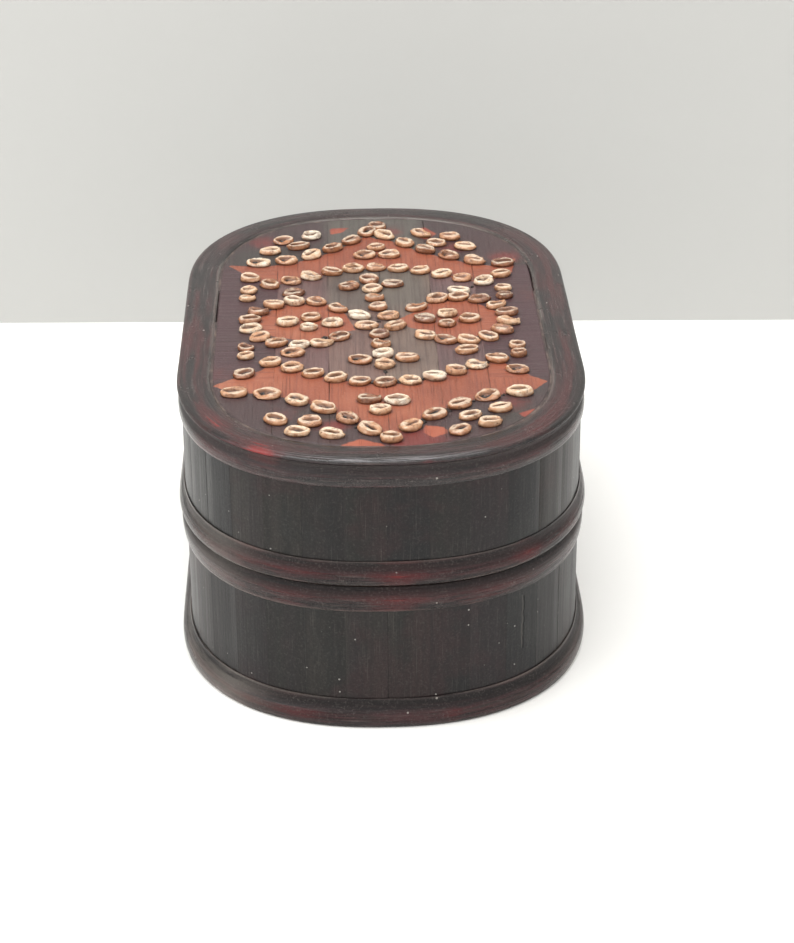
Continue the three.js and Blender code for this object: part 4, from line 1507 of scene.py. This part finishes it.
def board_material():
    material, nodes, shader = new_material("stained_board", (98, 80, 76), 0.42)
    place = nodes.place()
    axes = nodes.split(place)
    x, y = axes["X"], axes["Y"]
    off_x, off_y = nodes.math("ABSOLUTE", x), nodes.math("ABSOLUTE", y)
    long_grain = use_group(nodes, "wood_grain", Place=nodes.join(y, x), Length=16, Fineness=2100)
    cross_grain = use_group(nodes, "wood_grain", Place=place, Length=24, Fineness=1500)
    side = nodes.times(nodes.math("GREATER_THAN", off_x, SIDE_FROM),
                       nodes.math("LESS_THAN", off_y, SIDE_HALF_LENGTH))
    streaks = nodes.mix(side, long_grain["Streaks"], cross_grain["Streaks"])
    pores = nodes.mix(side, long_grain["Pores"], cross_grain["Pores"])
    cloud = nodes.noise(place, 38)
    speckle = nodes.noise(place, 1400, 3, 0.8)
    ragged = nodes.swing(nodes.noise(place, 520), 1.1)
    far_middle = nodes.times(nodes.step(nodes.total(y, (cloud, 0.03)), 0.018, 0.034),
                             nodes.step(off_x, 0.02, 0.014))
    strip = nodes.add("ShaderNodeMapRange", {
        "Value": x, "From Min": -STRIPS_REACH * MM, "From Max": STRIPS_REACH * MM,
    })["Result"]
    starts = [0, *((joint + STRIPS_REACH) / (2 * STRIPS_REACH) for joint in JOINTS)]
    ends = nodes.ramp(cloud, (0.35, (60, 54, 51)), (0.5, (70, 52, 54)), (0.65, (70, 44, 48)))
    ground = nodes.paint(
        nodes.ramp(strip, *zip(starts, STRIP_TONES), interpolation="CONSTANT"),
        (nodes.math("GREATER_THAN", off_y, SIDE_HALF_LENGTH), 1, ends),
        (far_middle, 0.7, (98, 95, 87)),
        (nodes.step(cloud, 0.45, 0.7), 0.4, (76, 60, 58)),
        (nodes.step(streaks, 0.44, 0.7), 0.42, (56, 40, 42)),
        (nodes.step(speckle, 0.5, 0.7), 0.3, (150, 130, 122)),
        (nodes.step(nodes.total(nodes.read("worn"), (ragged, 0.4)), 0.15, 0.75), 0.8, (128, 50, 44)),
    )
    terracotta = nodes.paint(
        nodes.ramp(cloud, (0.3, (142, 75, 54)), (0.5, (159, 86, 61)), (0.7, (174, 104, 77))),
        (nodes.step(streaks, 0.46, 0.7), 0.5, (118, 62, 52)),
        (nodes.step(speckle, 0.5, 0.72), 0.35, (204, 142, 112)),
    )
    patches = nodes.mix(nodes.step(cloud, 0.4, 0.6), colour(146, 66, 52), colour(176, 94, 68))
    faded = nodes.step(nodes.streaky(place, (160, 45), 4), 0.44, 0.6)
    crevice = nodes.times(
        nodes.step(nodes.math("MINIMUM", nodes.read("joint"), nodes.read("crack")), 0.24, 0.08),
        nodes.total(0.1, (faded, 0.5)),
    )
    surface = nodes.paint(
        ground,
        (nodes.step(nodes.total(nodes.read("terracotta"), ragged), -0.12, 0.12), 1, terracotta),
        (nodes.step(nodes.total(nodes.read("patch"), ragged), -0.3, 0.6), 1, patches),
        (pores, 0.4, (58, 40, 36)),
        (crevice, 1, (34, 24, 22)),
        # Darker round the feet of the shells: partly putty and dirt, partly painted shade
        (nodes.step(nodes.read("shell_gap"), 0.9, -0.3), 0.55, (44, 28, 24)),
    )
    relief = nodes.total(streaks, (pores, -0.7), (crevice, -1), (speckle, 0.4))
    finish(nodes, shader, surface, nodes.total(0.36, (streaks, 0.16)), relief, 0.3, 0.6)
    return material


def filler_material():
    material, nodes, shader = new_material("joint_filler", (70, 56, 52), 0.5)
    patchy = nodes.streaky(nodes.read("lie", "Vector"), (160, 300))
    surface = nodes.ramp(patchy, (0.3, (40, 30, 29)), (0.5, (76, 60, 57)), (0.7, (124, 106, 96)))
    finish(nodes, shader, surface, 0.5, patchy, 0.3, 0.5)
    return material


board.data.materials.append(board_material())
filler.data.materials.append(filler_material())


# %% [markdown]
# The floor board inside the base keeps its solid: it is a plain flat board. It only gets the bare
# wood.

# %% Floor board
floor_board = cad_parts["base_floor"]
floor_board.data.materials.clear()
floor_board.data.materials.append(bare_floor_wood)


# %% [markdown]
# The box stands on a pale floor in front of a pale wall, in soft light from above and the left.
# Neither belongs to the part. The wall is seen from the front alone: its back lets light and
# every other view through.

# %% Floor, wall and light
BACKDROP_Y = 209.5 * MM
STAGE_SIZE = 6


def stage_material(name, tint, see_through_back):
    material, nodes, shader = new_material(name, tint, 0.75)
    cloud = nodes.noise(nodes.place(), 9, 4)
    nodes.feed(shader["Base Color"], nodes.paint(colour(*tint), (cloud, 0.06, (150, 148, 144, 1))))
    if see_through_back:
        tree = material.node_tree.nodes
        both = nodes.add("ShaderNodeMixShader", {
            0: nodes.add("ShaderNodeNewGeometry")["Backfacing"],
            1: tree["Principled BSDF"].outputs[0],
            2: nodes.add("ShaderNodeBsdfTransparent")[0],
        })
        nodes.feed(tree["Material Output"].inputs["Surface"], both[0])
    return material


def stage_plane(name, place, turn, tint, see_through_back):
    start_clean()
    bpy.ops.mesh.primitive_plane_add(size=STAGE_SIZE, location=place, rotation=turn)
    plane = bpy.context.object
    plane.name = name
    plane.data.materials.append(stage_material(name, tint, see_through_back))
    return plane


def add_stage():
    ground = stage_plane("pale_floor", (0, 0, -0.2 * MM), (0, 0, 0), (251, 250, 247, 1), False)
    upright = (math.radians(90), 0, math.radians(-2))
    wall = stage_plane("pale_wall", (0, BACKDROP_Y, STAGE_SIZE / 2), upright, (216, 216, 213, 0.69), True)
    wall.visible_shadow = False


def add_light(name, place, aim, size, power, tint=(1, 1, 1)):
    start_clean()
    bpy.ops.object.light_add(type="AREA", location=place)
    light = bpy.context.object
    light.name = name
    light.data.shape = "RECTANGLE"
    light.data.size, light.data.size_y = size
    light.data.energy = power
    light.data.color = tint
    light.visible_camera = False
    light.rotation_euler = (Vector(aim) - Vector(place)).to_track_quat("-Z", "Y").to_euler()


def add_lights():
    add_light("window_left", (-1.0, -0.3, 1.2), (0, 0, 0.05), (1.4, 1.4), 11)
    add_light("ceiling_soft", (0.1, -0.2, 1.7), (0, 0, 0.05), (2.0, 2.0), 16)
    add_light("strip_above", (-0.05, 0.0, 0.7), (0, -0.1, 0.09), (0.6, 0.06), 1.3)
    world = bpy.data.worlds.new("soft_room")
    world.use_nodes = True
    world.node_tree.nodes["Background"].inputs["Color"].default_value = (1, 0.995, 0.98, 1)
    world.node_tree.nodes["Background"].inputs["Strength"].default_value = 1.08
    bpy.context.scene.world = world


add_stage()
add_lights()
bpy.context.scene.view_settings.view_transform = "Standard"


# %% [markdown]
# The last cell gives a helper that rounds the corners of a box to five places.

# %% Sizes and finish
def corners(box):
    return [[round(float(v), 5) for v in corner] for corner in box]
